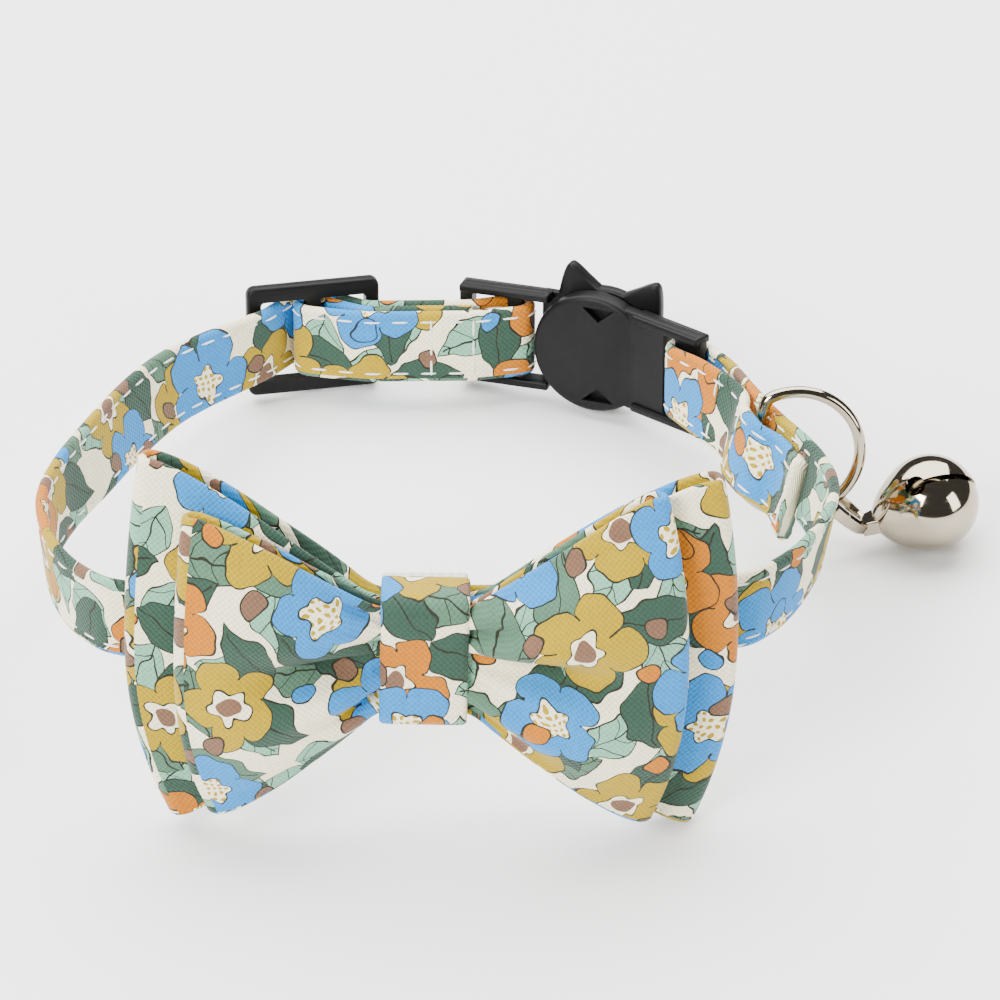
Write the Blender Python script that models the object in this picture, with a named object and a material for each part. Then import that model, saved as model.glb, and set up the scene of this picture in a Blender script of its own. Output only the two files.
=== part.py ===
"""Pet bow tie collar: a cloth strap with a slider and a two-part buckle, a bow and a bell.

Metres, +Z up. The collar is modelled in its own frame, with the origin in the middle of the
strap at the front, X to the right, Y to the back and Z across the strap. An empty then leans
the whole collar back until the bow's tips and the buckle stand on the ground.
"""
import math

import bmesh
import bpy
from mathutils import Matrix, Vector

for old in list(bpy.data.objects):
    bpy.data.objects.remove(old, do_unlink=True)

# Strap
STRAP_WIDTH = 0.0100
STRAP_THICKNESS = 0.0014
LOOP_WIDTH = 0.0943
LOOP_DEPTH = 0.0768
EDGE_ROUND = 0.0004
LAYER_GAP = 0.0003
TAIL_LENGTH = 0.0275
TAIL_DROP = 0.0027
HEM_THICKNESS = 0.0022
HEM_LENGTH = 0.0024
TAIL_CLOSING = 0.0080
TAIL_INSET = 0.0006
LOOP_PIECES = 5

# Slider
SLIDER_LENGTH = 0.0174
SLIDER_HEIGHT = 0.0152
SLIDER_PLATE = 0.0018
SLIDER_END_BAR = 0.0018
SLIDER_ACROSS = -0.0169
SLIDER_TURN = 13.0
BAR_ROUND = 0.0009
BLACK_BEVEL = 0.0004
SLOT_PLAY = 0.0006

# Buckle
BUCKLE_BAR_ACROSS = 0.0095
BUCKLE_LEFT_TURN = -18.0
BUCKLE_BAR_PITCH = 0.0066
BUCKLE_HEIGHT = 0.0138
RAIL_DEPTH = 0.0028
RAIL_INSET = 0.00012
HEAD_DIAMETER = 0.0162
HEAD_THICKNESS = 0.0048
HEAD_DISTANCE = 0.0112
HEAD_TURN = -22.0
HEAD_SPLIT = 0.0004
HEAD_RIM = 0.0006
LINK_LENGTH = 0.0034
NOTCH_WIDTH = 0.0044
NOTCH_HEIGHT = 0.0019
NOTCH_DEPTH = 0.0012
NOTCH_REACH = 0.0066
EAR_INNER_ANGLE = 76.0
EAR_OUTER_ANGLE = 26.0
EAR_TIP = ((0.00680, 0.00880), (0.00625, 0.00990), (0.00530, 0.01000), (0.00380, 0.00890))
EAR_ROLL = -6.0
EAR_SHIFT = 0.0006
NOTCH_SHIFT = 0.0009
RIGHT_TURN = -43.0
RIGHT_BAR_LENGTH = 0.0040
RIGHT_BAR_REACH = 0.0118
RIGHT_ROOT_OUT = 0.0036
RIGHT_ROOT_DEEP = 0.0007
RIGHT_RAIL_REACH = 0.0092
RIGHT_SHOULDER_ALONG = 0.0047
RIGHT_SHOULDER_OUT = -0.0003
RIGHT_SHOULDER_LEAN = 9.0

# Bow
BOW_ACROSS = -0.0013
BOW_LIFT = -0.0004
BOW_ROLL = 1.5
CLOTH_WALL = 0.0010
PLEAT_DEPTH = 0.0026
PLEAT_WIDTH = 0.2
LOBE_FALL = 0.78
KNOT_WIDTH = 0.0102
KNOT_HEIGHT = 0.0170
KNOT_CROWN = 0.0003
GATHER_HEIGHT = 0.0132
KEEPER_WIDTH = 0.0100
KEEPER_WALL = 0.0008
BACK_PUFF = 0.0034
FRONT_PUFF = 0.0036
PUFF_BEHIND = 0.0014
LAYER_ROOM = 0.0008
FOLD_ROUND = 0.0009
KNOT_CORNER = 0.0014

# D-ring and bell
RING_RADIUS = 0.0081
RING_BAR = 0.0122
RING_WIRE = 0.0015
RING_PLACE = 0.0150
RING_ROOM_REACH = 0.0060
RING_ROOM_FULLNESS = 1.8
RING_SWING = -18.0
BELL_HANG_ANGLE = -42.0
BELL_RADIUS = 0.0061
BELL_WALL = 0.0007
BELL_TURN = 5.0
BELL_RISE = 19.5
EYE_TURN = 6.0
EYE_DROOP = 42.0
SLIT_TURN = 54.0
SLIT_WIDTH = 0.0008
HOLE_RADIUS = 0.0013
HOLE_ALONG = 0.0011
HOLE_CUT_START = 0.0037
CUT_REACH = 0.0073
EYE_INNER_LENGTH = 0.0070
EYE_INNER_WIDTH = 0.0038
EYE_STRIP = 0.0008
EYE_STRIP_WIDTH = 0.0018
NECK_LENGTH = 0.0028
NECK_WIDE = 0.0042
NECK_NARROW = 0.0026

COLLAR_LEAN = 10.8
TOUCH_GAP = 0.0003

# Loop of the strap, from the slider round the front to the right buckle half.
# across: share of half the loop's width, deep: share of its depth, lean: degrees outwards at the top
LOOP_STATIONS = (
    ("back_left", -0.640, 0.890, 9.0),
    ("left_shoulder", -0.745, 0.805, 15.0),
    ("left_side", -0.835, 0.680, 16.0),
    ("left_flank", -0.910, 0.545, 14.0),
    ("left_waist", -0.972, 0.425, 9.0),
    ("left_extreme", -1.000, 0.300, 6.0),
    ("left_cheek", -0.955, 0.158, 4.5),
    ("left_corner", -0.868, 0.060, 2.0),
    ("left_front", -0.745, 0.012, 0.0),
    ("left_bow", -0.400, 0.002, 0.0),
    ("front", -0.027, 0.000, 0.0),
    ("right_bow", 0.400, 0.006, 0.0),
    ("right_front", 0.715, 0.036, 0.0),
    ("right_corner", 0.820, 0.075, 3.0),
    ("right_cheek", 0.918, 0.172, 8.0),
    ("right_extreme", 0.992, 0.330, 11.0),
    ("right_waist", 0.958, 0.465, 13.0),
    ("right_side", 0.862, 0.600, 14.0),
    ("right_flank", 0.800, 0.705, 13.0),
)

# Wings of the two bow layers.
# Span from the knot's middle to the fold, heights of the fold's top and bottom over the middle,
# and the shares of the span that the fold's top and bottom ends reach
BOW_WINGS = {
    ("bow_back", -1): (0.0332, 0.0239, 0.0229, 0.95, 0.85),
    ("bow_back", 1): (0.0347, 0.0228, 0.0223, 0.93, 0.885),
    ("bow_front", -1): (0.0272, 0.0186, 0.0205, 0.97, 0.865),
    ("bow_front", 1): (0.0289, 0.0223, 0.0203, 0.895, 0.885),
}

# Sections of a wing, from the knot to the fold.
# out: share of the span, tall: share of the way from the gathered to the full height,
# puff: share of the puff, pleat: share of the pleat's depth
WING_SECTIONS = (
    (0.00, 0.00, 0.00, 0.00),
    (0.10, 0.00, 0.00, 0.20),
    (0.19, 0.00, 0.00, 0.60),
    (0.26, 0.12, 0.40, 1.00),
    (0.38, 0.29, 0.74, 0.95),
    (0.52, 0.48, 0.95, 0.70),
    (0.67, 0.68, 1.00, 0.40),
    (0.82, 0.85, 0.88, 0.18),
    (0.93, 0.955, 0.66, 0.06),
    (1.00, 1.00, 0.45, 0.00),
)


def material(name, colour, roughness, metallic=0.0):
    made = bpy.data.materials.new(name)
    made.use_nodes = True
    shader = made.node_tree.nodes["Principled BSDF"]
    shader.inputs["Base Color"].default_value = (*colour, 1.0)
    shader.inputs["Roughness"].default_value = roughness
    shader.inputs["Metallic"].default_value = metallic
    made.diffuse_color = (*colour, 1.0)
    return made


CLOTH = material("printed_cotton", (0.62, 0.50, 0.20), 0.9)
BOW_CLOTH = material("bow_cotton", (0.70, 0.62, 0.40), 0.9)
KNOT_CLOTH = material("knot_cotton", (0.25, 0.45, 0.70), 0.9)
BLACK = material("black_acetal", (0.012, 0.012, 0.012), 0.45)
ELASTIC = material("white_elastic", (0.75, 0.74, 0.70), 0.9)
NICKEL = material("plated_nickel", (0.66, 0.64, 0.60), 0.18, 1.0)

collar = bpy.data.objects.new("collar_frame", None)
bpy.context.scene.collection.objects.link(collar)


def add_object(name, mesh, finish, smooth_angle=35.0):
    made = bpy.data.objects.new(name, mesh)
    bpy.context.scene.collection.objects.link(made)
    mesh.materials.append(finish)
    mesh.shade_smooth()
    mesh.set_sharp_from_angle(angle=math.radians(smooth_angle))
    made.parent = collar
    return made


def mesh_from(name, verts, faces):
    mesh = bpy.data.meshes.new(name)
    mesh.from_pydata([tuple(v) for v in verts], [], faces)
    shape = bmesh.new()
    shape.from_mesh(mesh)
    bmesh.ops.recalc_face_normals(shape, faces=shape.faces[:])
    shape.to_mesh(mesh)
    shape.free()
    return mesh


def turned(angle):
    """Unit direction in plan at an angle in degrees from +X."""
    return Vector((math.cos(math.radians(angle)), math.sin(math.radians(angle))))


def outward(direction):
    """The side away from the neck, on the right of a path that runs round the neck."""
    return Vector((direction.y, -direction.x))


# Places of the bars in plan

WRAP = BAR_ROUND + TOUCH_GAP + STRAP_THICKNESS / 2
LAYER_PITCH = STRAP_THICKNESS + LAYER_GAP
slider_along = turned(SLIDER_TURN)
slider_centre = Vector((SLIDER_ACROSS, LOOP_DEPTH + WRAP))
bar_spacing = (SLIDER_LENGTH - SLIDER_END_BAR) / 2
slider_left = slider_centre - slider_along * bar_spacing
slider_right = slider_centre + slider_along * bar_spacing

left_along = turned(BUCKLE_LEFT_TURN)
buckle_bar = Vector((BUCKLE_BAR_ACROSS, LOOP_DEPTH + WRAP))
buckle_end = buckle_bar - left_along * BUCKLE_BAR_PITCH

head_along = turned(HEAD_TURN)
head_centre = buckle_bar + turned((BUCKLE_LEFT_TURN + HEAD_TURN) / 2) * HEAD_DISTANCE
right_along = turned(RIGHT_TURN)
right_root = head_centre + head_along * RIGHT_ROOT_OUT + outward(head_along) * RIGHT_ROOT_DEEP
right_bar = right_root + right_along * RIGHT_BAR_REACH
half_bar = RIGHT_BAR_LENGTH / 2 - BAR_ROUND
right_bar_near = right_bar - right_along * half_bar
right_bar_far = right_bar + right_along * half_bar


def tangent(start, end):
    """Line that leaves one turn and meets the next; a turn is a centre and a signed radius."""
    (centre_a, radius_a), (centre_b, radius_b) = start, end
    span = centre_b - centre_a
    swing = math.asin((radius_b - radius_a) / span.length)
    heading = math.atan2(span.y, span.x) - swing
    along = Vector((math.cos(heading), math.sin(heading)))
    left = Vector((-along.y, along.x))
    return centre_a - left * radius_a, centre_b - left * radius_b


def arc(turn, start, end, steps):
    """Points on a turn from where the path meets it to where it leaves."""
    centre, radius = turn
    first = start - centre
    last = end - centre
    sweep = math.atan2(first.cross(last), first.dot(last))
    if radius > 0 and sweep < -1e-6:
        sweep += 2 * math.pi
    if radius < 0 and sweep > 1e-6:
        sweep -= 2 * math.pi
    points = []
    for step in range(steps + 1):
        angle = sweep * step / steps
        c, s = math.cos(angle), math.sin(angle)
        points.append(centre + Vector((first.x * c - first.y * s, first.x * s + first.y * c)))
    return points


def belt(turns, steps):
    """Path of straight runs and arcs that passes round a row of turns."""
    lines = [tangent(a, b) for a, b in zip(turns, turns[1:])]
    points = [lines[0][0]]
    for place, turn in enumerate(turns[1:-1], start=1):
        points += arc(turn, lines[place - 1][1], lines[place][0], steps[place])
    points.append(lines[-1][1])
    return points


def smooth_path(before, points, after, pieces):
    """Catmull-Rom curve through the points, with the neighbours that steer its ends."""
    row = [before] + list(points) + [after]
    made = []
    for a, b, c, d in zip(row, row[1:], row[2:], row[3:]):
        for step in range(pieces):
            t = step / pieces
            made.append(0.5 * (2 * b + (c - a) * t + (2 * a - 5 * b + 4 * c - d) * t * t
                               + (3 * b - a - 3 * c + d) * t ** 3))
    made.append(points[-1].copy())
    return made


def station(row):
    """A row of the loop's table as a place in plan and a lean, in metres and degrees."""
    return Vector((LOOP_WIDTH / 2 * row[1], LOOP_DEPTH * row[2], row[3]))


def back_run():
    """From the sewn tail round the slider and the buckle's bar, and through the slider."""
    tail_start = Vector((buckle_end.x + TAIL_INSET, buckle_end.y - WRAP - LAYER_PITCH))
    turns = [
        (tail_start, 0.0),
        (slider_right, -WRAP - LAYER_PITCH),
        (slider_centre, WRAP),
        (slider_right, WRAP + 2 * LAYER_PITCH),
        (buckle_end, WRAP + 2 * LAYER_PITCH),
        (buckle_bar, WRAP),
        (buckle_end, -WRAP),
        (slider_right, -WRAP),
        (slider_centre, WRAP + LAYER_PITCH),
        (slider_left, -WRAP),
        (station(LOOP_STATIONS[0]).xy, 0.0),
    ]
    return belt(turns, (0, 3, 12, 3, 3, 12, 4, 4, 10, 4, 0))


def right_end(last_station, tail_join):
    """Round the right buckle half's bar and back to where the folded end begins."""
    turns = [
        (last_station, 0.0),
        (right_bar_far, WRAP),
        (right_bar_near, WRAP),
        (tail_join, 0.0),
    ]
    return belt(turns, (0, 2, 10, 0))


def side_of(point, following):
    along = (following.xy - point.xy).normalized()
    return Vector((*outward(along), 0.0))


def folded_end(main):
    """The end folded back inside the strap and sagging to its hem, off the strap at the D-ring's bar."""
    rows = []
    travelled = 0.0
    ring_room = RING_WIRE + 2 * TOUCH_GAP + STRAP_THICKNESS - LAYER_PITCH
    for here, before in zip(reversed(main[1:]), reversed(main[:-1])):
        side = side_of(before, here)
        lean = math.radians(here.z)
        closing = min(1.0, travelled / TAIL_CLOSING)
        off = 2 * WRAP + (LAYER_PITCH - 2 * WRAP) * closing * closing * (3 - 2 * closing)
        reach = abs(travelled - RING_PLACE) / RING_ROOM_REACH
        if reach < 1.0:
            off += ring_room * min(1.0, RING_ROOM_FULLNESS * math.cos(math.pi / 2 * reach) ** 2)
        if travelled > TAIL_LENGTH - 2 * HEM_LENGTH:
            off += (HEM_THICKNESS - STRAP_THICKNESS) / 2
        inside = side * math.cos(lean) - Vector((0.0, 0.0, math.sin(lean)))
        centre = Vector((here.x, here.y, 0.0)) - inside * off
        centre.z -= TAIL_DROP * (travelled / TAIL_LENGTH) ** 2
        rows.append((centre, -here.z, travelled))
        travelled += (here.xy - before.xy).length
        if travelled > TAIL_LENGTH:
            return rows
    return rows


def main_loop():
    """The strap's run round the neck, from the slider to the right buckle half."""
    before = Vector((*back_run()[-2], 0.0))
    far_side = Vector((*(right_bar_far + outward(-right_along) * WRAP), 0.0))
    leaving = right_bar_far + right_along * RIGHT_SHOULDER_ALONG
    leaving += outward(-right_along) * RIGHT_SHOULDER_OUT
    stations = [station(row) for row in LOOP_STATIONS]
    stations.append(Vector((*leaving, RIGHT_SHOULDER_LEAN)))
    return smooth_path(before, stations, far_side, LOOP_PIECES)


def strap_path():
    """Rows of centre, lean in degrees and half thickness along the whole strap."""
    rows = []
    back = back_run()
    main = main_loop()
    tail = folded_end(main)
    turn = right_end(main[-1].xy, tail[0][0].xy)
    half = STRAP_THICKNESS / 2
    rows += [(Vector((*point, 0.0)), 0.0, half) for point in back[:-1]]
    rows += [(Vector((row.x, row.y, 0.0)), row.z, half) for row in main]
    rows += [(Vector((*point, 0.0)), 0.0, half) for point in turn[1:-1]]
    for centre, lean, travelled in tail:
        hemmed = travelled > TAIL_LENGTH - HEM_LENGTH
        rows.append((centre, lean, HEM_THICKNESS / 2 if hemmed else half))
    return rows


def strap_section(centre, along, lean, half):
    """Eight corners of the strap's section: a flat strip with eased edges."""
    side = Vector((*outward(along), 0.0))
    up = Vector((0.0, 0.0, 1.0))
    lean = math.radians(lean)
    wide = up * math.cos(lean) + side * math.sin(lean)
    thick = side * math.cos(lean) - up * math.sin(lean)
    half_width = STRAP_WIDTH / 2
    ease = EDGE_ROUND
    corners = (
        (half_width - ease, half), (half_width, half - ease),
        (half_width, ease - half), (half_width - ease, -half),
        (ease - half_width, -half), (-half_width, ease - half),
        (-half_width, half - ease), (ease - half_width, half),
    )
    return [centre + wide * w + thick * t for w, t in corners]


def tube(sections):
    """Closed skin over a row of sections with the same number of corners."""
    count = len(sections[0])
    verts = [corner for section in sections for corner in section]
    faces = []
    for i in range(len(sections) - 1):
        for j in range(count):
            k = (j + 1) % count
            faces.append((i * count + j, i * count + k, (i + 1) * count + k, (i + 1) * count + j))
    faces.append(tuple(range(count)))
    faces.append(tuple((len(sections) - 1) * count + j for j in reversed(range(count))))
    return verts, faces


def make_strap():
    rows = strap_path()
    places = [row[0].xy for row in rows]
    sections = []
    for i, (centre, lean, half) in enumerate(rows):
        into = places[i] - places[max(i - 1, 0)]
        away = places[min(i + 1, len(places) - 1)] - places[i]
        along = (into.normalized() + away.normalized()).normalized()
        sections.append(strap_section(centre, along, lean, half))
    add_object("strap", mesh_from("strap", *tube(sections)), CLOTH)


make_strap()


def grid_plate(name, columns, rows, holes, low, high, finish):
    """Flat plate in columns along u and rows along z, with some of its cells left open."""
    shape = bmesh.new()
    filled = {(i, j) for i in range(len(columns) - 1) for j in range(len(rows) - 1)} - set(holes)
    verts = {}

    def vert(i, j, k):
        if (i, j, k) not in verts:
            verts[i, j, k] = shape.verts.new((columns[i], (low, high)[k], rows[j]))
        return verts[i, j, k]

    for i, j in filled:
        for k in (0, 1):
            corners = ((i, j), (i + 1, j), (i + 1, j + 1), (i, j + 1))
            shape.faces.new([vert(*corner, k) for corner in corners])
        sides = (((i, j), (i + 1, j), (0, -1)), ((i + 1, j), (i + 1, j + 1), (1, 0)),
                 ((i + 1, j + 1), (i, j + 1), (0, 1)), ((i, j + 1), (i, j), (-1, 0)))
        for a, b, (di, dj) in sides:
            if (i + di, j + dj) not in filled:
                shape.faces.new([vert(*a, 0), vert(*b, 0), vert(*b, 1), vert(*a, 1)])
    bmesh.ops.recalc_face_normals(shape, faces=shape.faces[:])
    mesh = bpy.data.meshes.new(name)
    shape.to_mesh(mesh)
    shape.free()
    return add_object(name, mesh, finish)


def bevelled(made, width, segments=2):
    ease = made.modifiers.new("eased_edges", "BEVEL")
    ease.width = width
    ease.segments = segments
    ease.limit_method = "ANGLE"
    ease.angle_limit = math.radians(40.0)
    return made


def stand(made, place, heading):
    """Puts a plate whose length is along X at a place in plan, turned to a heading."""
    made.location = (place.x, place.y, 0.0)
    made.rotation_euler = (0.0, 0.0, math.radians(heading))
    return made


def make_slider():
    half = SLIDER_LENGTH / 2
    inner = STRAP_WIDTH / 2 + SLOT_PLAY
    columns = (-half, -half + SLIDER_END_BAR, -BAR_ROUND, BAR_ROUND, half - SLIDER_END_BAR, half)
    rows = (-SLIDER_HEIGHT / 2, -inner, inner, SLIDER_HEIGHT / 2)
    half_plate = SLIDER_PLATE / 2
    made = grid_plate("slider", columns, rows, ((1, 1), (3, 1)), -half_plate, half_plate, BLACK)
    stand(bevelled(made, BLACK_BEVEL), slider_centre, SLIDER_TURN)


make_slider()


def prism(name, outline, low, high, finish):
    """Outline in u and z, given thickness from low to high."""
    count = len(outline)
    verts = [(u, low, z) for u, z in outline] + [(u, high, z) for u, z in outline]
    faces = [tuple(range(count)), tuple(reversed(range(count, 2 * count)))]
    faces += [(i, i + count, (i + 1) % count + count, (i + 1) % count) for i in range(count)]
    return add_object(name, mesh_from(name, verts, faces), finish)


def combine(made, tool, operation):
    """Joins a tool to a piece or cuts it out; the tool itself is only a guide."""
    tool.hide_render = True
    tool.display_type = "WIRE"
    step = made.modifiers.new(tool.name, "BOOLEAN")
    step.operation = operation
    step.solver = "EXACT"
    step.object = tool
    return made


def circle_outline(radius, sides, first=0.0, last=360.0):
    closed = abs(last - first - 360.0) < 1e-6
    count = sides if closed else sides + 1
    return [(radius * math.cos(math.radians(first + (last - first) * i / sides)),
             radius * math.sin(math.radians(first + (last - first) * i / sides))) for i in range(count)]


def eared_outline():
    """Round plate with two pointed ears, one outline."""
    radius = HEAD_DIAMETER / 2
    outline = circle_outline(radius, 22, 180.0 - EAR_OUTER_ANGLE, 360.0 + EAR_OUTER_ANGLE)
    outline += EAR_TIP
    outline += circle_outline(radius, 3, EAR_INNER_ANGLE, 180.0 - EAR_INNER_ANGLE)
    outline += [(-u, z) for u, z in reversed(EAR_TIP)]
    roll = Matrix.Rotation(math.radians(EAR_ROLL), 2)
    return [tuple(roll @ Vector(point) + Vector((EAR_SHIFT, 0.0))) for point in outline]


def frame_sides():
    outer = BUCKLE_HEIGHT / 2
    inner = STRAP_WIDTH / 2 + SLOT_PLAY
    return (-outer, -inner, inner, outer)


def deepen_rails(made, name, start, end, place, heading):
    """Gives a frame's two side rails their full depth."""
    half_rail = RAIL_DEPTH / 2
    outer = BUCKLE_HEIGHT / 2 - RAIL_INSET
    inner = STRAP_WIDTH / 2 + SLOT_PLAY + RAIL_INSET
    rows = (-outer, -inner, inner, outer)
    rails = grid_plate(name, (start, end), rows, ((0, 1),), -half_rail, half_rail, BLACK)
    stand(bevelled(rails, BLACK_BEVEL), place, heading)
    combine(made, rails, "UNION")


def make_buckle_left():
    """Ladder frame for the adjustable end, with the eared outer plate of the head."""
    strap_turn = BAR_ROUND + 2 * TOUCH_GAP + STRAP_THICKNESS
    head_edge = HEAD_DISTANCE - math.sqrt((HEAD_DIAMETER / 2) ** 2 - (STRAP_WIDTH / 2) ** 2)
    columns = (-BUCKLE_BAR_PITCH - BAR_ROUND, -BUCKLE_BAR_PITCH + BAR_ROUND, -BAR_ROUND, BAR_ROUND,
               max(strap_turn, head_edge))
    holes = ((1, 1), (3, 1))
    half_plate = SLIDER_PLATE / 2
    made = grid_plate("buckle_left", columns, frame_sides(), holes, -half_plate, half_plate, BLACK)
    stand(bevelled(made, BLACK_BEVEL), buckle_bar, BUCKLE_LEFT_TURN)
    start, end = columns[0] + RAIL_INSET, columns[-1] - RAIL_INSET
    deepen_rails(made, "left_rails_guide", start, end, buckle_bar, BUCKLE_LEFT_TURN)
    plate_low = HEAD_SPLIT + TOUCH_GAP
    plate = prism("outer_plate_guide", eared_outline(), plate_low, HEAD_THICKNESS / 2, BLACK)
    stand(bevelled(plate, HEAD_RIM), head_centre, HEAD_TURN)
    combine(made, plate, "UNION")
    link_start = strap_turn + TOUCH_GAP - HEAD_DISTANCE
    link_half = BUCKLE_HEIGHT / 2 - 3 * RAIL_INSET
    link_columns = (link_start, link_start + LINK_LENGTH)
    link_rows = (-link_half, link_half)
    link_high = HEAD_THICKNESS / 2 - HEAD_RIM
    link = grid_plate("left_link_guide", link_columns, link_rows, (), plate_low, link_high, BLACK)
    stand(bevelled(link, BLACK_BEVEL / 2), head_centre, HEAD_TURN)
    combine(made, link, "UNION")


def make_buckle_right():
    """Inner disc of the head with its two notches, and the bar for the sewn end."""
    outline = circle_outline(HEAD_DIAMETER / 2, 32)
    disc = prism("buckle_right", outline, -HEAD_THICKNESS / 2, HEAD_SPLIT, BLACK)
    stand(bevelled(disc, HEAD_RIM), head_centre, HEAD_TURN)
    strap_turn = RIGHT_BAR_LENGTH / 2 + 2 * TOUCH_GAP + STRAP_THICKNESS
    half = RIGHT_BAR_LENGTH / 2
    columns = (-RIGHT_BAR_REACH, -strap_turn, -half, half)
    holes = ((1, 1),)
    half_plate = SLIDER_PLATE / 2
    frame = grid_plate("right_frame_guide", columns, frame_sides(), holes, -half_plate, half_plate, BLACK)
    stand(bevelled(frame, BLACK_BEVEL), right_bar, RIGHT_TURN)
    combine(disc, frame, "UNION")
    end = half - RAIL_INSET
    deepen_rails(disc, "right_rails_guide", -RIGHT_RAIL_REACH, end, right_bar, RIGHT_TURN)
    for side, name in ((1, "top_notch_guide"), (-1, "bottom_notch_guide")):
        base = NOTCH_REACH * side
        tip = (NOTCH_REACH - NOTCH_HEIGHT) * side
        corners = ((-NOTCH_WIDTH / 2, base), (0.0, tip), (NOTCH_WIDTH / 2, base))
        outline = [(NOTCH_SHIFT + u, z) for u, z in corners]
        low = -HEAD_THICKNESS
        notch = prism(name, outline, low, NOTCH_DEPTH - HEAD_THICKNESS / 2, BLACK)
        stand(notch, head_centre, HEAD_TURN)
        combine(disc, notch, "DIFFERENCE")


make_buckle_left()
make_buckle_right()


def closed_band(name, columns, wall, finish):
    """Sheet whose columns run round in a closed loop, thickened to a wall."""
    rows = len(columns[0])
    verts = [point for column in columns for point in column]
    faces = []
    for i in range(len(columns)):
        k = (i + 1) % len(columns)
        for j in range(rows - 1):
            faces.append((i * rows + j, k * rows + j, k * rows + j + 1, i * rows + j + 1))
    made = add_object(name, mesh_from(name, verts, faces), finish)
    thick = made.modifiers.new("wall", "SOLIDIFY")
    thick.thickness = wall
    thick.offset = 0.0
    thick.use_even_offset = True
    return made


def rounded_loop(half_y, half_z, corner, steps):
    """Rounded rectangle in Y and Z, anticlockwise from the middle of its +Y side."""
    points = [(half_y, 0.0)]
    for sign_y, sign_z, first in ((1, 1, 0), (-1, 1, 90), (-1, -1, 180), (1, -1, 270)):
        for step in range(steps + 1):
            angle = math.radians(first + 90.0 * step / steps)
            points.append((sign_y * (half_y - corner) + corner * math.cos(angle),
                           sign_z * (half_z - corner) + corner * math.sin(angle)))
        if first == 90:
            points.append((-half_y, 0.0))
    return points


# The bow's layers from the strap forwards, as places along Y

knot_back = -(STRAP_THICKNESS / 2 + 2 * TOUCH_GAP + KEEPER_WALL + CLOTH_WALL / 2)
sheet_pitch = CLOTH_WALL + TOUCH_GAP
back_layer_y = knot_back - 1.5 * sheet_pitch
knot_front = knot_back - 5 * sheet_pitch


def wing_share(out, column):
    """Reads a column of the wing table at a share of the span."""
    for low, high in zip(WING_SECTIONS, WING_SECTIONS[1:]):
        if out <= high[0]:
            part = (out - low[0]) / (high[0] - low[0])
            part = part * part * (3 - 2 * part) if column == 3 else part
            return low[column] + (high[column] - low[column]) * part
    return WING_SECTIONS[-1][column]


def wing_height(wing, out, up):
    _, top, bottom, _, _ = wing
    full = top if up >= 0 else bottom
    return GATHER_HEIGHT / 2 + (full - GATHER_HEIGHT / 2) * wing_share(out, 1)


def wing_puff(puff, out, up):
    """How far a panel stands off its resting place: two soft lobes with a pleat between."""
    lobe = 1.0 - LOBE_FALL * up * up
    pleat = PLEAT_DEPTH * wing_share(out, 3) * math.exp(-(up / PLEAT_WIDTH) ** 2)
    return max(puff * wing_share(out, 2) * lobe - pleat, 0.0)


def back_layer_front(x, z):
    """Y of the back layer's front panel, which the front layer lies on."""
    side = 1 if x >= 0 else -1
    wing = BOW_WINGS["bow_back", side]
    out = min(abs(x) / wing[0], 1.0)
    up = max(-1.0, min(1.0, z / wing_height(wing, out, z)))
    return back_layer_y - sheet_pitch / 2 - wing_puff(BACK_PUFF, out, up)


def layer_point(layer, side, out, face, up):
    """A point of a layer's mid surface; face is -1 on the front panel and 1 on the back panel."""
    wing = BOW_WINGS[layer, side]
    span, _, _, top_in, bottom_in = wing
    drawn_in = top_in if up >= 0 else bottom_in
    x = side * span * out * (1.0 - (1.0 - drawn_in) * up * up * out)
    z = up * wing_height(wing, out, up)
    if layer == "bow_back":
        if face > 0:
            y = back_layer_y + sheet_pitch / 2 + PUFF_BEHIND * wing_share(out, 2)
        else:
            y = back_layer_front(x, z)
        return Vector((x, y, z))
    lies_on = back_layer_front(x, z) - sheet_pitch - LAYER_ROOM * wing_share(out, 2)
    if face > 0:
        return Vector((x, lies_on, z))
    return Vector((x, lies_on - sheet_pitch - wing_puff(FRONT_PUFF, out, up), z))


def layer_columns(layer):
    ups = [-1.0, -0.75, -0.5, -0.3, -0.14, 0.0, 0.14, 0.3, 0.5, 0.75, 1.0]
    outs = [row[0] for row in WING_SECTIONS]
    columns = []
    for face, order in ((-1, (-1, 1)), (1, (1, -1))):
        first, second = order
        places = [(first, out) for out in reversed(outs)] + [(second, out) for out in outs[1:]]
        columns += [[layer_point(layer, side, out, face, up) for up in ups] for side, out in places]
        fold = []
        for step in (1, 2, 3):
            angle = math.pi * step / 4
            column = []
            for up in ups:
                here = layer_point(layer, second, 1.0, face, up)
                there = layer_point(layer, second, 1.0, -face, up)
                middle = (here + there) / 2
                half = (here - there) / 2
                point = middle + half * math.cos(angle)
                point.x += second * FOLD_ROUND * math.sin(angle)
                column.append(point)
            fold.append(column)
        columns += fold
    return columns


def seat_bow_piece(made):
    """Puts a piece of the bow on the strap's front, rolled a little as it hangs."""
    made.location = (BOW_ACROSS, 0.0, BOW_LIFT)
    made.rotation_euler = (0.0, math.radians(BOW_ROLL), 0.0)
    return made


def make_bow():
    for layer in ("bow_back", "bow_front"):
        seat_bow_piece(closed_band(layer, layer_columns(layer), CLOTH_WALL, BOW_CLOTH))


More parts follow.
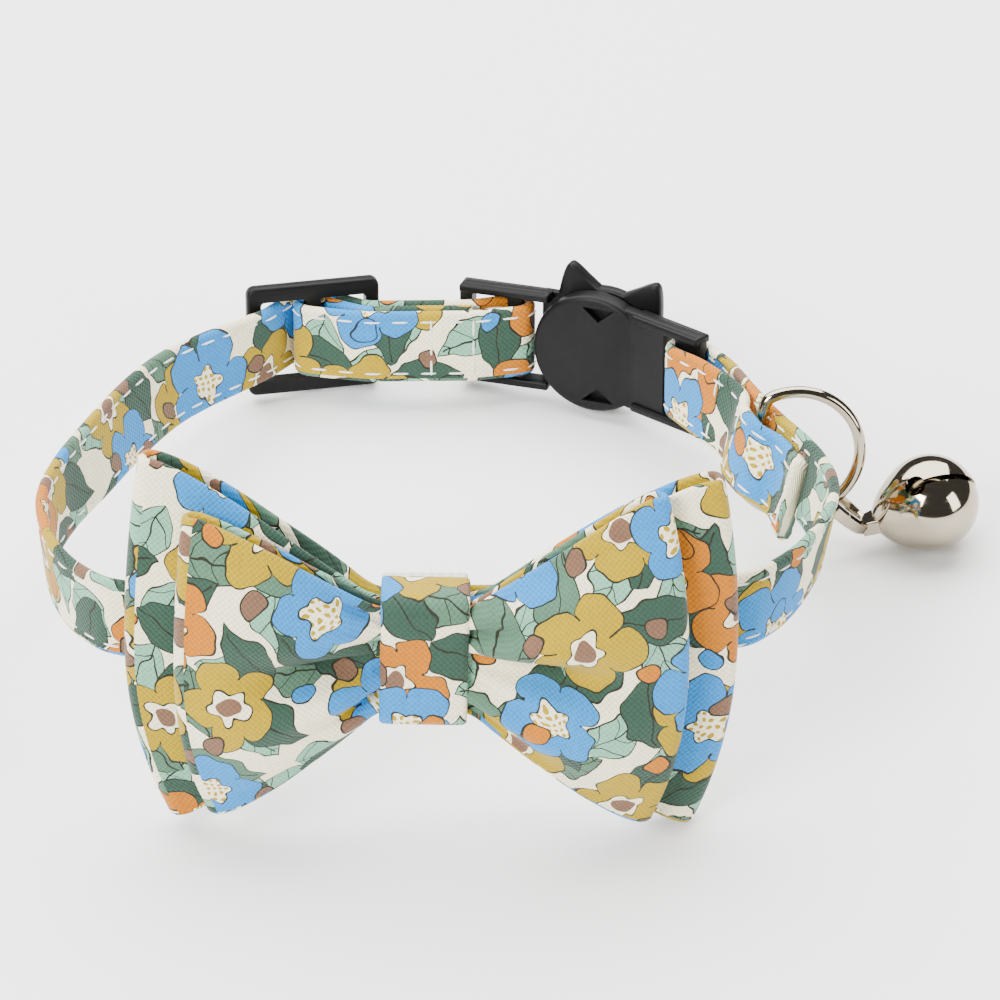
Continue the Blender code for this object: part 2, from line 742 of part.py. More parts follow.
def make_knot():
    """Band round the gathered layers, a little fuller at its middle."""
    half_y = (knot_back - knot_front) / 2
    loop = rounded_loop(half_y, (KNOT_HEIGHT - CLOTH_WALL) / 2, KNOT_CORNER, 3)
    columns = []
    for y, z in loop:
        column = []
        for share in (-1.0, -0.9, -0.6, -0.2, 0.2, 0.6, 0.9, 1.0):
            crown = KNOT_CROWN * (1.0 - share ** 4)
            front = max(0.0, -y / half_y)
            place = (knot_back + knot_front) / 2 + y - crown * front
            column.append(Vector((share * KNOT_WIDTH / 2, place, z)))
        columns.append(column)
    seat_bow_piece(closed_band("bow_knot", columns, CLOTH_WALL, KNOT_CLOTH))


def make_keeper():
    """Plain elastic loop on the back of the bow, round the strap."""
    half_y = STRAP_THICKNESS / 2 + TOUCH_GAP + KEEPER_WALL / 2
    half_z = STRAP_WIDTH / 2 + TOUCH_GAP + KEEPER_WALL / 2
    loop = rounded_loop(half_y, half_z, KEEPER_WALL / 2, 2)
    columns = [[Vector((side * KEEPER_WIDTH / 2, y, z)) for side in (-1, 1)] for y, z in loop]
    made = closed_band("bow_keeper", columns, KEEPER_WALL, ELASTIC)
    made.location.x = BOW_ACROSS


make_bow()
make_knot()
make_keeper()


def ring_seat():
    """Middle of the room between the strap and its folded end, with its ways up and outwards."""
    main = main_loop()
    travelled = 0.0
    for later, earlier in zip(reversed(main[1:]), reversed(main[:-1])):
        step = (later.xy - earlier.xy).length
        if travelled + step >= RING_PLACE:
            break
        travelled += step
    here = later.lerp(earlier, (RING_PLACE - travelled) / step)
    side = side_of(earlier, later)
    lean = math.radians(here.z)
    up = Vector((0.0, 0.0, math.cos(lean))) + side * math.sin(lean)
    out = side * math.cos(lean) - Vector((0.0, 0.0, math.sin(lean)))
    room = (STRAP_THICKNESS + RING_WIRE) / 2 + TOUCH_GAP
    return Vector((here.x, here.y, 0.0)) - out * room, up, out


def ring_frame():
    place, up, out = ring_seat()
    swung = Matrix.Rotation(math.radians(RING_SWING), 3, up) @ out
    chord = math.sqrt(RING_RADIUS ** 2 - (RING_BAR / 2) ** 2)
    return place + swung * chord, up, swung, chord


def ring_point(angle):
    middle, up, out, _ = ring_frame()
    return middle + out * RING_RADIUS * math.cos(angle) + up * RING_RADIUS * math.sin(angle)


def make_ring():
    """Round wire bent to a D, its straight bar in the strap's fold."""
    middle, up, out, chord = ring_frame()
    corner = math.pi - math.acos(chord / RING_RADIUS)
    arc_steps = 30
    path = [ring_point(-corner + 2 * corner * i / arc_steps) for i in range(arc_steps + 1)]
    bar_steps = 4
    path += [path[-1].lerp(path[0], i / bar_steps) for i in range(1, bar_steps)]
    normal = out.cross(up).normalized()
    sides = 8
    verts = []
    for i, point in enumerate(path):
        along = (path[(i + 1) % len(path)] - path[i - 1]).normalized()
        across = along.cross(normal).normalized()
        for j in range(sides):
            angle = 2 * math.pi * j / sides
            verts.append(point + (across * math.cos(angle) + normal * math.sin(angle)) * RING_WIRE / 2)
    faces = []
    for i in range(len(path)):
        for j in range(sides):
            k, m = (i + 1) % len(path), (j + 1) % sides
            faces.append((i * sides + j, i * sides + m, k * sides + m, k * sides + j))
    add_object("d_ring", mesh_from("d_ring", verts, faces), NICKEL)


def ball(name, radius, around, down):
    mesh = bpy.data.meshes.new(name)
    shape = bmesh.new()
    bmesh.ops.create_uvsphere(shape, u_segments=around, v_segments=down, radius=radius)
    shape.to_mesh(mesh)
    shape.free()
    return add_object(name, mesh, NICKEL, 60.0)


def box_guide(name, low, high):
    verts = [(x, y, z) for x in (low[0], high[0]) for y in (low[1], high[1]) for z in (low[2], high[2])]
    faces = [(0, 1, 3, 2), (4, 6, 7, 5), (0, 4, 5, 1), (2, 3, 7, 6), (0, 2, 6, 4), (1, 5, 7, 3)]
    return add_object(name, mesh_from(name, verts, faces), NICKEL)


def eye_band(name):
    """Flat strip bent to a long loop, lying along the bell's axis, +X away from the bell."""
    half_long = (EYE_INNER_LENGTH + EYE_STRIP) / 2
    half_wide = (EYE_INNER_WIDTH + EYE_STRIP) / 2
    columns = []
    for i in range(20):
        angle = 2 * math.pi * i / 20
        columns.append([Vector((half_long * math.cos(angle), half_wide * math.sin(angle), z))
                        for z in (-EYE_STRIP_WIDTH / 2, EYE_STRIP_WIDTH / 2)])
    return closed_band(name, columns, EYE_STRIP, NICKEL)


def slanted(heading, rise):
    """Unit direction at a heading in plan, rising at an angle in degrees."""
    flat = turned(heading) * math.cos(math.radians(rise))
    return Vector((flat.x, flat.y, math.sin(math.radians(rise))))


def axes_along(along):
    """Turn that lays +X along a direction, with Y level."""
    across = Vector((0.0, 0.0, 1.0)).cross(along).normalized()
    return Matrix((along, across, along.cross(across))).transposed().to_4x4()


def make_bell():
    """Pressed ball with a slit between two round holes, and a strip eye on its neck."""
    hook = ring_point(math.radians(BELL_HANG_ANGLE))
    eye_away = slanted(EYE_TURN, -EYE_DROOP)
    bell_away = slanted(BELL_TURN, BELL_RISE)
    eye_middle = hook + eye_away * (EYE_INNER_LENGTH / 2 - TOUCH_GAP - RING_WIRE)
    eye_end = eye_middle + eye_away * (EYE_INNER_LENGTH + EYE_STRIP) / 2
    middle = eye_end + bell_away * (NECK_LENGTH + BELL_RADIUS)
    turn = axes_along(-bell_away)
    bell = ball("bell", BELL_RADIUS, 26, 14)
    hollow = ball("bell_hollow_guide", BELL_RADIUS - BELL_WALL, 24, 12)
    half_slit = SLIT_WIDTH / 2
    slit = box_guide("slit_guide", (-CUT_REACH, -CUT_REACH, -half_slit), (HOLE_ALONG, CUT_REACH, half_slit))
    spin = Matrix.Rotation(math.radians(SLIT_TURN), 4, "X")
    eye = eye_band("eye_guide")
    for piece in (bell, hollow, slit):
        piece.matrix_basis = Matrix.Translation(middle) @ turn @ spin
    eye.matrix_basis = Matrix.Translation(eye_middle) @ axes_along(-eye_away)
    neck_tip = BELL_RADIUS + NECK_LENGTH + EYE_STRIP / 2
    neck_ends = [(NECK_WIDE / 2, BELL_RADIUS - BELL_WALL), (NECK_NARROW / 2, neck_tip)]
    verts = [(x, y * half, z * EYE_STRIP_WIDTH / 2) for half, x in neck_ends
             for y, z in ((-1, -1), (1, -1), (1, 1), (-1, 1))]
    faces = [(0, 1, 2, 3), (7, 6, 5, 4), (0, 4, 5, 1), (1, 5, 6, 2), (2, 6, 7, 3), (3, 7, 4, 0)]
    neck = add_object("neck_guide", mesh_from("neck_guide", verts, faces), NICKEL)
    neck.matrix_basis = Matrix.Translation(middle) @ turn
    combine(bell, eye, "UNION")
    combine(bell, neck, "UNION")
    combine(bell, hollow, "DIFFERENCE")
    combine(bell, slit, "DIFFERENCE")
    for side, name in ((-1, "left_hole_guide"), (1, "right_hole_guide")):
        outline = circle_outline(HOLE_RADIUS, 12)
        low, high = sorted((side * HOLE_CUT_START, side * CUT_REACH))
        hole = prism(name, outline, low, high, NICKEL)
        hole.matrix_basis = bell.matrix_basis @ Matrix.Translation((HOLE_ALONG, 0.0, 0.0))
        combine(bell, hole, "DIFFERENCE")


make_ring()
make_bell()


def stand_on_ground():
    """Leans the collar back and puts the middle of its footprint at the origin, its foot at Z = 0."""
    collar.rotation_euler = (math.radians(-COLLAR_LEAN), 0.0, 0.0)
    bpy.context.view_layer.update()
    graph = bpy.context.evaluated_depsgraph_get()
    low = Vector((1.0, 1.0, 1.0))
    high = -low
    for piece in bpy.data.objects:
        if piece.type != "MESH" or piece.hide_render:
            continue
        shape = piece.evaluated_get(graph).to_mesh()
        for vert in shape.vertices:
            place = piece.matrix_world @ vert.co
            low = Vector(map(min, low, place))
            high = Vector(map(max, high, place))
    collar.location = (-(low.x + high.x) / 2, -(low.y + high.y) / 2, -low.z)
    bpy.context.view_layer.update()


stand_on_ground()
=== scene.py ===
import math
from bisect import bisect_right

import bmesh
import bpy
from mathutils import Matrix, Vector


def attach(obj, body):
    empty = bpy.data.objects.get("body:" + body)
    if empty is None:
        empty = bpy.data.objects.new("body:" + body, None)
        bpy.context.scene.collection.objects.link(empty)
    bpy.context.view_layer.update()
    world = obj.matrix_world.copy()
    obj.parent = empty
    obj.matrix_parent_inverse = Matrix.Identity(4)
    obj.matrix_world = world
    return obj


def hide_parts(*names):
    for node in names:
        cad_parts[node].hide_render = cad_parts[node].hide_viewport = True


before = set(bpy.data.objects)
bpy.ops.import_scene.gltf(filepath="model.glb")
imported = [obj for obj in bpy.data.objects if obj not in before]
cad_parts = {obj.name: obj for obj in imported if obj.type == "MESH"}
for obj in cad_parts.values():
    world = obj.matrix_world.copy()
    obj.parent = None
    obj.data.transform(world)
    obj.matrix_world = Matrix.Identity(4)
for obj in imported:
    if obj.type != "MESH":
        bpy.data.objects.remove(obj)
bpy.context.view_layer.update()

MM = 0.001


# ---------------------------------------------------------------------------
# How the collar stands
# The strap stands on edge and leans back a little. The bell touches the table, and the slider and the
# bow's lower tips are just above it. Pieces are laid out in the collar's own frame, in millimetres:
# origin in the middle of the strap's front, X right, Y to the back, Z up across the strap.
# ---------------------------------------------------------------------------

COLLAR_PLACE = Vector((-9.4751, -33.1786, 22.9621))
COLLAR_LEAN = math.radians(-10.8)
COLLAR = Matrix.Translation(COLLAR_PLACE * MM) @ Matrix.Rotation(COLLAR_LEAN, 4, "X") @ Matrix.Scale(MM, 4)


# ---------------------------------------------------------------------------
# Studio
# A pale seamless table with a soft light from the front left, a weaker one from the right and a
# wide, strong one overhead towards the back, seen from above by a long lens.
# ---------------------------------------------------------------------------

CAMERA_TARGET = COLLAR @ Vector((7.4, 31.5, 0.0))
CAMERA_DISTANCE = 0.620
CAMERA_ELEVATION = math.radians(37.8)
FOCAL_LENGTH = 183.5
SENSOR_WIDTH = 36.0
NEAR_CLIP = 0.05
ROOM_LIGHT = "#F7F7F7"
ROOM_STRENGTH = 0.12
TABLE_HALF = 3.0
SHEET_WHITE = "#FDFDFC"

# Softboxes: name, place in metres, width and height, and watts. All are turned to the collar.
SOFTBOXES = (
    ("key_softbox", (-0.50, -0.60, 0.60), (0.45, 0.45), 18.0),
    ("fill_softbox", (0.75, -0.40, 0.35), (0.35, 0.55), 5.0),
    ("top_softbox", (-0.08, 0.36, 0.66), (1.30, 0.90), 30.0),
)


def linear(colour):
    """An sRGB hex value as a linear colour with full alpha."""
    parts = [int(colour[i:i + 2], 16) / 255 for i in (1, 3, 5)]
    return (*(c / 12.92 if c <= 0.04045 else ((c + 0.055) / 1.055) ** 2.4 for c in parts), 1.0)


def add(tree, kind, inputs=None, **settings):
    """Adds a node; an input is a value, a node's first output or a socket."""
    made = tree.nodes.new(kind)
    for name, value in settings.items():
        setattr(made, name, value)
    for name, value in (inputs or {}).items():
        if isinstance(value, bpy.types.Node):
            value = value.outputs[0]
        if isinstance(value, bpy.types.NodeSocket):
            tree.links.new(value, made.inputs[name])
        else:
            made.inputs[name].default_value = value
    return made


def new_material(name):
    """An empty material's node tree with its surface shader and output."""
    made = bpy.data.materials.new(name)
    made.use_nodes = True
    made.node_tree.nodes.clear()
    tree = made.node_tree
    shader = add(tree, "ShaderNodeBsdfPrincipled")
    add(tree, "ShaderNodeOutputMaterial", {"Surface": shader})
    return made, tree, shader


def set_down(name, data):
    """A new object in the scene."""
    made = bpy.data.objects.new(name, data)
    bpy.context.scene.collection.objects.link(made)
    return made


lens = bpy.data.cameras.new("camera")
lens.sensor_width = SENSOR_WIDTH
lens.lens = FOCAL_LENGTH
lens.clip_start = NEAR_CLIP
camera = set_down("camera", lens)
sight = Vector((0.0, math.cos(CAMERA_ELEVATION), -math.sin(CAMERA_ELEVATION)))
camera.location = CAMERA_TARGET - sight * CAMERA_DISTANCE
camera.rotation_euler = sight.to_track_quat("-Z", "Y").to_euler()
bpy.context.scene.camera = camera

for name, place, size, power in SOFTBOXES:
    lamp = bpy.data.lights.new(name, "AREA")
    lamp.shape = "RECTANGLE"
    lamp.size, lamp.size_y = size
    lamp.energy = power
    softbox = set_down(name, lamp)
    softbox.location = place
    softbox.rotation_euler = (-Vector(place)).to_track_quat("-Z", "Y").to_euler()

world = bpy.data.worlds.new("studio")
bpy.context.scene.world = world
world.use_nodes = True
room = world.node_tree.nodes["Background"]
room.inputs["Color"].default_value = linear(ROOM_LIGHT)
room.inputs["Strength"].default_value = ROOM_STRENGTH

# White vinyl sheet, satin, with no pattern of its own but a very faint unevenness.
vinyl, tree, shader = new_material("white_vinyl_sheet")
place = add(tree, "ShaderNodeTexCoord")
blotch = add(tree, "ShaderNodeTexNoise", {"Vector": place.outputs["Object"], "Scale": 3.0, "Detail": 2.0})
tone = add(tree, "ShaderNodeMapRange", {"Value": blotch, "To Min": 0.985, "To Max": 1.0})
white = add(tree, "ShaderNodeVectorMath", {0: linear(SHEET_WHITE)[:3], "Scale": tone}, operation="SCALE")
tree.links.new(white.outputs[0], shader.inputs["Base Color"])
shader.inputs["Roughness"].default_value = 0.6

table = bpy.data.meshes.new("table_top")
corners = ((-1, -1), (1, -1), (1, 1), (-1, 1))
table.from_pydata([(x * TABLE_HALF, y * TABLE_HALF, 0.0) for x, y in corners], [], [(0, 1, 2, 3)])
table.materials.append(vinyl)
table_top = set_down("table_top", table)


# ---------------------------------------------------------------------------
# Strap
# One strip of printed cotton poplin, folded lengthwise over itself and run over with white thread
# along both edges. It starts at its sewn tail by the slider, goes round the slider's middle bar and
# the buckle's bar, round the neck, and round the other buckle half's bar, where its end is folded
# back inside and sewn down, with the D-ring in the fold.
# ---------------------------------------------------------------------------

STRAP_WIDTH = 10.0
STRAP_WALL = 1.4
HEM_WALL = 2.2
HEM_LENGTH = 2.4
ROW_SPACING = 0.6
EASING_PASSES = 2
RIM_STEPS = 4

# The stitches' two lines lie STITCH_INSET in from the edges. They draw the cloth in by STITCH_DIMPLE
# over DIMPLE_SPREAD to each side, less at each stitch's ends.
STITCH_INSET = 1.35
STITCH_PITCH = 3.6
STITCH_DIMPLE = 0.16
DIMPLE_SPREAD = 0.42
DIMPLE_MEAN = 0.72
DIMPLE_SWING = 0.28

# Points across one half of the strap, from its edge to its middle, closer by the line of stitches.
HALF_OFFSETS = (-1.0, -0.965, -0.91, -0.85, -0.79, -0.74, -0.69, -0.63, -0.55, -0.4, -0.2)

# Where the strap's middle line goes: millimetres across and back, and then, where they aren't 0,
# millimetres up and the degrees that the strap leans out.
STRAP_ROUTE = (
    (3.82, 77.14), (-9.22, 76.86), (-9.91, 76.91), (-10.58, 77.09), (-11.20, 77.40), (-15.90, 80.31),
    (-16.40, 80.53), (-16.94, 80.60), (-17.48, 80.51), (-17.98, 80.27), (-18.38, 79.89), (-18.66, 79.42),
    (-18.79, 78.89), (-18.77, 78.34), (-18.59, 77.83), (-18.27, 77.38), (-17.83, 77.05), (-17.32, 76.85),
    (-10.48, 75.29), (-10.05, 75.21), (-9.62, 75.16), (-9.18, 75.16), (3.34, 75.44), (3.70, 75.46),
    (4.06, 75.51), (4.42, 75.58), (9.93, 76.85), (10.40, 77.03), (10.81, 77.33), (11.13, 77.72),
    (11.33, 78.19), (11.40, 78.69), (11.33, 79.19), (11.14, 79.66), (10.83, 80.06), (10.42, 80.36),
    (9.94, 80.55), (9.44, 80.60), (8.94, 80.52), (3.78, 78.92), (3.66, 78.89), (3.53, 78.86),
    (3.40, 78.85), (3.27, 78.84), (-9.26, 78.56), (-9.53, 78.57), (-9.80, 78.62), (-10.06, 78.71),
    (-10.30, 78.84), (-15.00, 81.76), (-15.50, 82.02), (-16.03, 82.19), (-16.59, 82.29), (-17.15, 82.29),
    (-17.71, 82.21), (-18.25, 82.04), (-18.75, 81.79), (-19.21, 81.46), (-19.61, 81.07), (-19.95, 80.62),
    (-22.89, 75.93), (-22.95, 75.85), (-23.01, 75.77), (-23.07, 75.70), (-23.14, 75.62),
    (-30.18, 68.35, 0, 9), (-31.31, 67.05, 0, 10.5), (-32.34, 65.83, 0, 11.9), (-33.30, 64.62, 0, 13.1),
    (-34.22, 63.31, 0, 14.2), (-35.13, 61.82, 0, 15), (-36.03, 60.11, 0, 15.6), (-36.91, 58.24, 0, 15.9),
    (-37.76, 56.27, 0, 16.1), (-38.58, 54.24, 0, 16.1), (-39.37, 52.22, 0, 16), (-40.13, 50.18, 0, 15.8),
    (-40.87, 48.08, 0, 15.6), (-41.57, 45.96, 0, 15.2), (-42.25, 43.87, 0, 14.6), (-42.91, 41.86, 0, 14),
    (-43.56, 39.95, 0, 13.2), (-44.20, 38.11, 0, 12.1), (-44.81, 36.30, 0, 11), (-45.36, 34.49, 0, 9.9),
    (-45.83, 32.64, 0, 9), (-46.25, 30.77, 0, 8.2), (-46.64, 28.89, 0, 7.6), (-46.95, 26.99, 0, 7),
    (-47.13, 25.05, 0, 6.5), (-47.15, 23.04, 0, 6), (-46.98, 20.89, 0, 5.6), (-46.64, 18.61, 0, 5.3),
    (-46.18, 16.32, 0, 5.1), (-45.63, 14.12, 0, 4.8), (-45.03, 12.13, 0, 4.5), (-44.36, 10.35, 0, 4.1),
    (-43.61, 8.70, 0, 3.5), (-42.78, 7.18, 0, 3), (-41.89, 5.81, 0, 2.5), (-40.93, 4.61, 0, 2),
    (-40.04, 3.58, 0, 1.5), (-39.23, 2.72, 0, 1.1), (-38.28, 2.00, 0, 0.6), (-36.98, 1.41, 0, 0.3),
    (-35.13, 0.92), (-32.56, 0.57, 0, -0.1), (-29.44, 0.37, 0, -0.1), (-25.96, 0.28, 0, -0.1),
    (-22.37, 0.22), (-18.86, 0.15), (-15.47, 0.07), (-12.04, 0.02), (-8.55, -0.01), (-4.97, -0.02),
    (-1.27, 0.00), (2.68, 0.02), (6.85, 0.05), (11.06, 0.11), (15.13, 0.24), (18.86, 0.46), (22.33, 0.79),
    (25.66, 1.22, 0, -0.1), (28.74, 1.70, 0, -0.2), (31.46, 2.23, 0, -0.2), (33.71, 2.76),
    (35.34, 3.25, 0, 0.4), (36.42, 3.70, 0, 0.9), (37.18, 4.21, 0, 1.5), (37.85, 4.86, 0, 2.2),
    (38.66, 5.76, 0, 3), (39.63, 6.89, 0, 3.9), (40.59, 8.19, 0, 5), (41.53, 9.68, 0, 6),
    (42.44, 11.35, 0, 7.1), (43.28, 13.21, 0, 8), (44.14, 15.36, 0, 8.7), (45.01, 17.81, 0, 9.4),
    (45.80, 20.39, 0, 10), (46.42, 22.96, 0, 10.5), (46.77, 25.34, 0, 11), (46.82, 27.53, 0, 11.5),
    (46.64, 29.62, 0, 11.9), (46.27, 31.65, 0, 12.3), (45.76, 33.67, 0, 12.7), (45.17, 35.71, 0, 13),
    (44.43, 37.82, 0, 13.3), (43.49, 39.97, 0, 13.6), (42.48, 42.10, 0, 13.8), (41.49, 44.15, 0, 13.9),
    (40.64, 46.08, 0, 14), (39.94, 47.87, 0, 14), (39.31, 49.55, 0, 13.9), (38.74, 51.14, 0, 13.7),
    (38.22, 52.67, 0, 13.4), (37.72, 54.14, 0, 13), (37.27, 55.57, 0, 12.5), (36.87, 56.94, 0, 11.9),
    (36.50, 58.24, 0, 11.1), (36.14, 59.48, 0, 10.2), (35.77, 60.65, 0, 9), (34.33, 64.71),
    (34.12, 65.12), (33.83, 65.46), (32.22, 66.96), (31.78, 67.27), (31.27, 67.44), (30.73, 67.46),
    (30.21, 67.34), (29.75, 67.07), (29.38, 66.68), (29.13, 66.20), (29.03, 65.67), (29.08, 65.13),
    (29.27, 64.63), (32.19, 59.50, 0.59, -9), (32.68, 58.47, 0.64, -10.2), (33.38, 57.36, 0.61, -11.1),
    (34.24, 56.17, 0.52, -11.9), (35.17, 54.91, 0.39, -12.5), (36.03, 53.58, 0.25, -13),
    (36.65, 52.13, 0.15, -13.4), (37.00, 50.52, 0.1, -13.7), (36.56, 48.52, 0.24, -13.9),
    (36.78, 46.62, 0.2, -14), (37.54, 44.71, 0, -14), (38.43, 42.68, -0.25, -13.9),
    (40.70, 41.25, -0.91, -13.8), (41.98, 39.31, -1.35, -13.6), (42.50, 37.14, -1.65, -13.3),
    (43.20, 35.15, -2.07, -13),
)


def at_share(values, marks, mark):
    """Reads a row of values at a mark between its marks."""
    place = min(max(bisect_right(marks, mark) - 1, 0), len(marks) - 2)
    share = (mark - marks[place]) / (marks[place + 1] - marks[place])
    return values[place] + (values[place + 1] - values[place]) * min(max(share, 0.0), 1.0)


def walked(points):
    """Distance walked along a row of points, one value for each."""
    marks = [0.0]
    for a, b in zip(points, points[1:]):
        marks.append(marks[-1] + (b - a).length)
    return marks


def soft_route(rows, spacing, passes):
    """The route in even steps, with its corners eased."""
    points = [Vector((*row, 0.0, 0.0)[:4]) for row in rows]
    marks = walked([point.xy for point in points])
    count = round(marks[-1] / spacing)
    even = [at_share(points, marks, marks[-1] * i / count) for i in range(count + 1)]
    for _ in range(passes):
        inner = [(a + b * 2 + c) / 4 for a, b, c in zip(even, even[1:], even[2:])]
        even = [even[0]] + inner + [even[-1]]
    return even


def smooth_mesh(name, shape):
    """Keeps a bmesh as a smooth mesh."""
    mesh = bpy.data.meshes.new(name)
    shape.to_mesh(mesh)
    shape.free()
    mesh.shade_smooth()
    return mesh


def cloth_strip(name, middle, wall, closed=False, start=(0.0, 0.0)):
    """A strip of cloth with rounded edges from rows of its middle surface.

    Each row runs across the strip. wall(i, j) is the cloth's thickness there. The map's U runs
    along the strip and V across it and on round its edges, in millimetres, from start.
    """
    rows, across = len(middle), len(middle[0])
    normals = []
    for i in range(rows):
        if closed:
            before, after = middle[i - 1], middle[(i + 1) % rows]
        else:
            before, after = middle[max(i - 1, 0)], middle[min(i + 1, rows - 1)]
        line = []
        for j in range(across):
            along = after[j] - before[j]
            wide = middle[i][min(j + 1, across - 1)] - middle[i][max(j - 1, 0)]
            line.append(along.cross(wide).normalized())
        normals.append(line)

    def ring(i):
        row, up = middle[i], normals[i]
        out = [row[j] + up[j] * wall(i, j) / 2 for j in range(across)]
        for end, step in ((across - 1, 1), (0, -1)):
            edge = (row[end] - row[end - step]).normalized()
            half = wall(i, end) / 2
            for k in range(1, RIM_STEPS):
                angle = math.pi * k / RIM_STEPS
                lift = math.cos(angle) * step
                out.append(row[end] + up[end] * half * lift + edge * half * math.sin(angle))
            if end:
                out += [row[j] - up[j] * wall(i, j) / 2 for j in reversed(range(across))]
        return out

    rings = [ring(i) for i in range(rows)]
    count = len(rings[0])
    centre = across // 2
    u_marks = walked([row[centre] for row in middle])
    if closed:
        u_marks.append(u_marks[-1] + (middle[0][centre] - middle[-1][centre]).length)
    v_marks = []
    for r in rings:
        marks = walked([*r, r[0]])
        v_marks.append([mark - marks[centre] for mark in marks])
    shape = bmesh.new()
    uv = shape.loops.layers.uv.new("cloth_mm")
    verts = [[shape.verts.new(COLLAR @ point) for point in r] for r in rings]
    for i in range(rows if closed else rows - 1):
        n = (i + 1) % rows
        for k in range(count):
            m = (k + 1) % count
            face = shape.faces.new((verts[i][k], verts[n][k], verts[n][m], verts[i][m]))
            marks = ((i, i, k), (n, i + 1, k), (n, i + 1, k + 1), (i, i, k + 1))
            for loop, (row, mark, column) in zip(face.loops, marks):
                loop[uv].uv = (start[0] + u_marks[mark], start[1] + v_marks[row][column])
    if not closed:
        for row, marks_row, u in ((verts[0], v_marks[0], 0.0), (verts[-1], v_marks[-1], u_marks[-1])):
            face = shape.faces.new(row)
            for loop, v in zip(face.loops, marks_row):
                loop[uv].uv = (start[0] + u, start[1] + v)
    bmesh.ops.recalc_face_normals(shape, faces=shape.faces[:])
    return set_down(name, smooth_mesh(name, shape))


strap_route = soft_route(STRAP_ROUTE, ROW_SPACING, EASING_PASSES)
strap_marks = walked([row.xy for row in strap_route])


def strap_frame(i):
    """Middle, way across and way out of the strap at a row of its route."""
    here = strap_route[i]
    ahead = strap_route[min(i + 1, len(strap_route) - 1)] - strap_route[max(i - 1, 0)]
    side = Vector((ahead.y, -ahead.x, 0.0)).normalized()
    lean = math.radians(here.w)
    wide = Vector((0.0, 0.0, math.cos(lean))) + side * math.sin(lean)
    out = side * math.cos(lean) - Vector((0.0, 0.0, math.sin(lean)))
    return here.xyz, wide, out


def strap_wall(mark, offset):
    """Thickness of the strap: fuller between the two lines of stitches, drawn in under them."""
    thick = HEM_WALL if mark > strap_marks[-1] - HEM_LENGTH else STRAP_WALL
    line = STRAP_WIDTH / 2 - STITCH_INSET
    drawn = math.exp(-((abs(offset) - line) / DIMPLE_SPREAD) ** 2)
    beside = DIMPLE_MEAN + DIMPLE_SWING * math.cos(2 * math.pi * mark / STITCH_PITCH)
    return thick - 2 * STITCH_DIMPLE * drawn * beside


strap_offsets = [*HALF_OFFSETS, 0.0, *(-share for share in reversed(HALF_OFFSETS))]
half_inner = (STRAP_WIDTH - STRAP_WALL) / 2
strap_middle = []
for row in range(len(strap_route)):
    middle, wide, _ = strap_frame(row)
    strap_middle.append([middle + wide * half_inner * share for share in strap_offsets])
strap = cloth_strip("printed_strap", strap_middle,
                    lambda i, j: strap_wall(strap_marks[i], strap_offsets[j] * half_inner))

# Cotton poplin, printed in flat inks over a cream ground, with a fine thread relief, matt with a little fuzz.
# Its weave is also painted into the colour: painted shade between the threads and painted highlight on them.
# The threads are 0.2 mm and are drawn at 0.36 mm to show.
# The inks are deep, because the display transform pales bright colours.
INK_CREAM = "#F5ECCA"
INK_MUSTARD = "#A68A00"
INK_BLUE = "#1E80C4"
INK_ORANGE = "#B86C00"
INK_DARK_GREEN = "#2A4537"
INK_SAGE = "#4C6E58"
INK_MINT = "#78AA90"
INK_MAUVE = "#70523E"
INK_LINE = "#222217"
LINE_WIDTH = 0.21
THREAD = 0.36
# Strength of the painted shade between the weave's threads and the painted highlight on them.
WEAVE_PAINTED_LIGHT = 0.15
WEAVE_RELIEF = 0.00005

# How the motifs are drawn, in millimetres or in shares of a leaf's half length or a bloom's radius.
LEAF_LOOSENESS = 0.45
LEAF_FULL_END = -0.42
VEIN_SLANT = -0.8
VEIN_WIDTH = 0.4 * LINE_WIDTH
RIB_REACH = 0.82
BLOOM_LOOSENESS = 0.34
SMALLEST_BLOOM = 0.78
PETAL_ROUNDNESS = 0.55
PETAL_SWELL = 0.36
PETAL_LINE_START = 0.52
HEART = 0.30
HEART_TEETH = 0.05
CORE = 0.2
DOT_SPACING = 0.95
DOT_RADIUS = 0.3
BUD_RADIUS = 1.45
BUD_SPACING = 11.5
BUD_LOOSENESS = 0.7
HAND_DRIFT = 2.2


def scatter_nodes():
    """Node group: scatters motifs over a map and gives each its own turned axes and two draws."""
    group = bpy.data.node_groups.new("motif_scatter", "ShaderNodeTree")
    face = group.interface
    face.new_socket("Vector", in_out="INPUT", socket_type="NodeSocketVector")
    face.new_socket("Spacing", in_out="INPUT", socket_type="NodeSocketFloat")
    face.new_socket("Scatter", in_out="INPUT", socket_type="NodeSocketFloat")
    for label in ("Along", "Across", "Draw", "Second Draw"):
        face.new_socket(label, in_out="OUTPUT", socket_type="NodeSocketFloat")
    given = add(group, "NodeGroupInput")
    vector = given.outputs["Vector"]
    density = add(group, "ShaderNodeMath", {0: 1.0, 1: given.outputs["Spacing"]}, operation="DIVIDE")
    cell = add(group, "ShaderNodeTexVoronoi", voronoi_dimensions="2D",
               inputs={"Vector": vector, "Scale": density, "Randomness": given.outputs["Scatter"]})
    offset = add(group, "ShaderNodeVectorMath", {0: vector, 1: cell.outputs["Position"]},
                 operation="SUBTRACT")
    draws = add(group, "ShaderNodeSeparateColor", {"Color": cell.outputs["Color"]})
    angle = add(group, "ShaderNodeMath", {0: draws.outputs[2], 1: 2 * math.pi}, operation="MULTIPLY")
    turned = add(group, "ShaderNodeVectorRotate", {"Vector": offset, "Angle": angle}, rotation_type="Z_AXIS")
    axes = add(group, "ShaderNodeSeparateXYZ", {"Vector": turned})
    add(group, "NodeGroupOutput", {"Along": axes.outputs[0], "Across": axes.outputs[1],
                                   "Draw": draws.outputs[0], "Second Draw": draws.outputs[1]})
    return group


scatter = scatter_nodes()


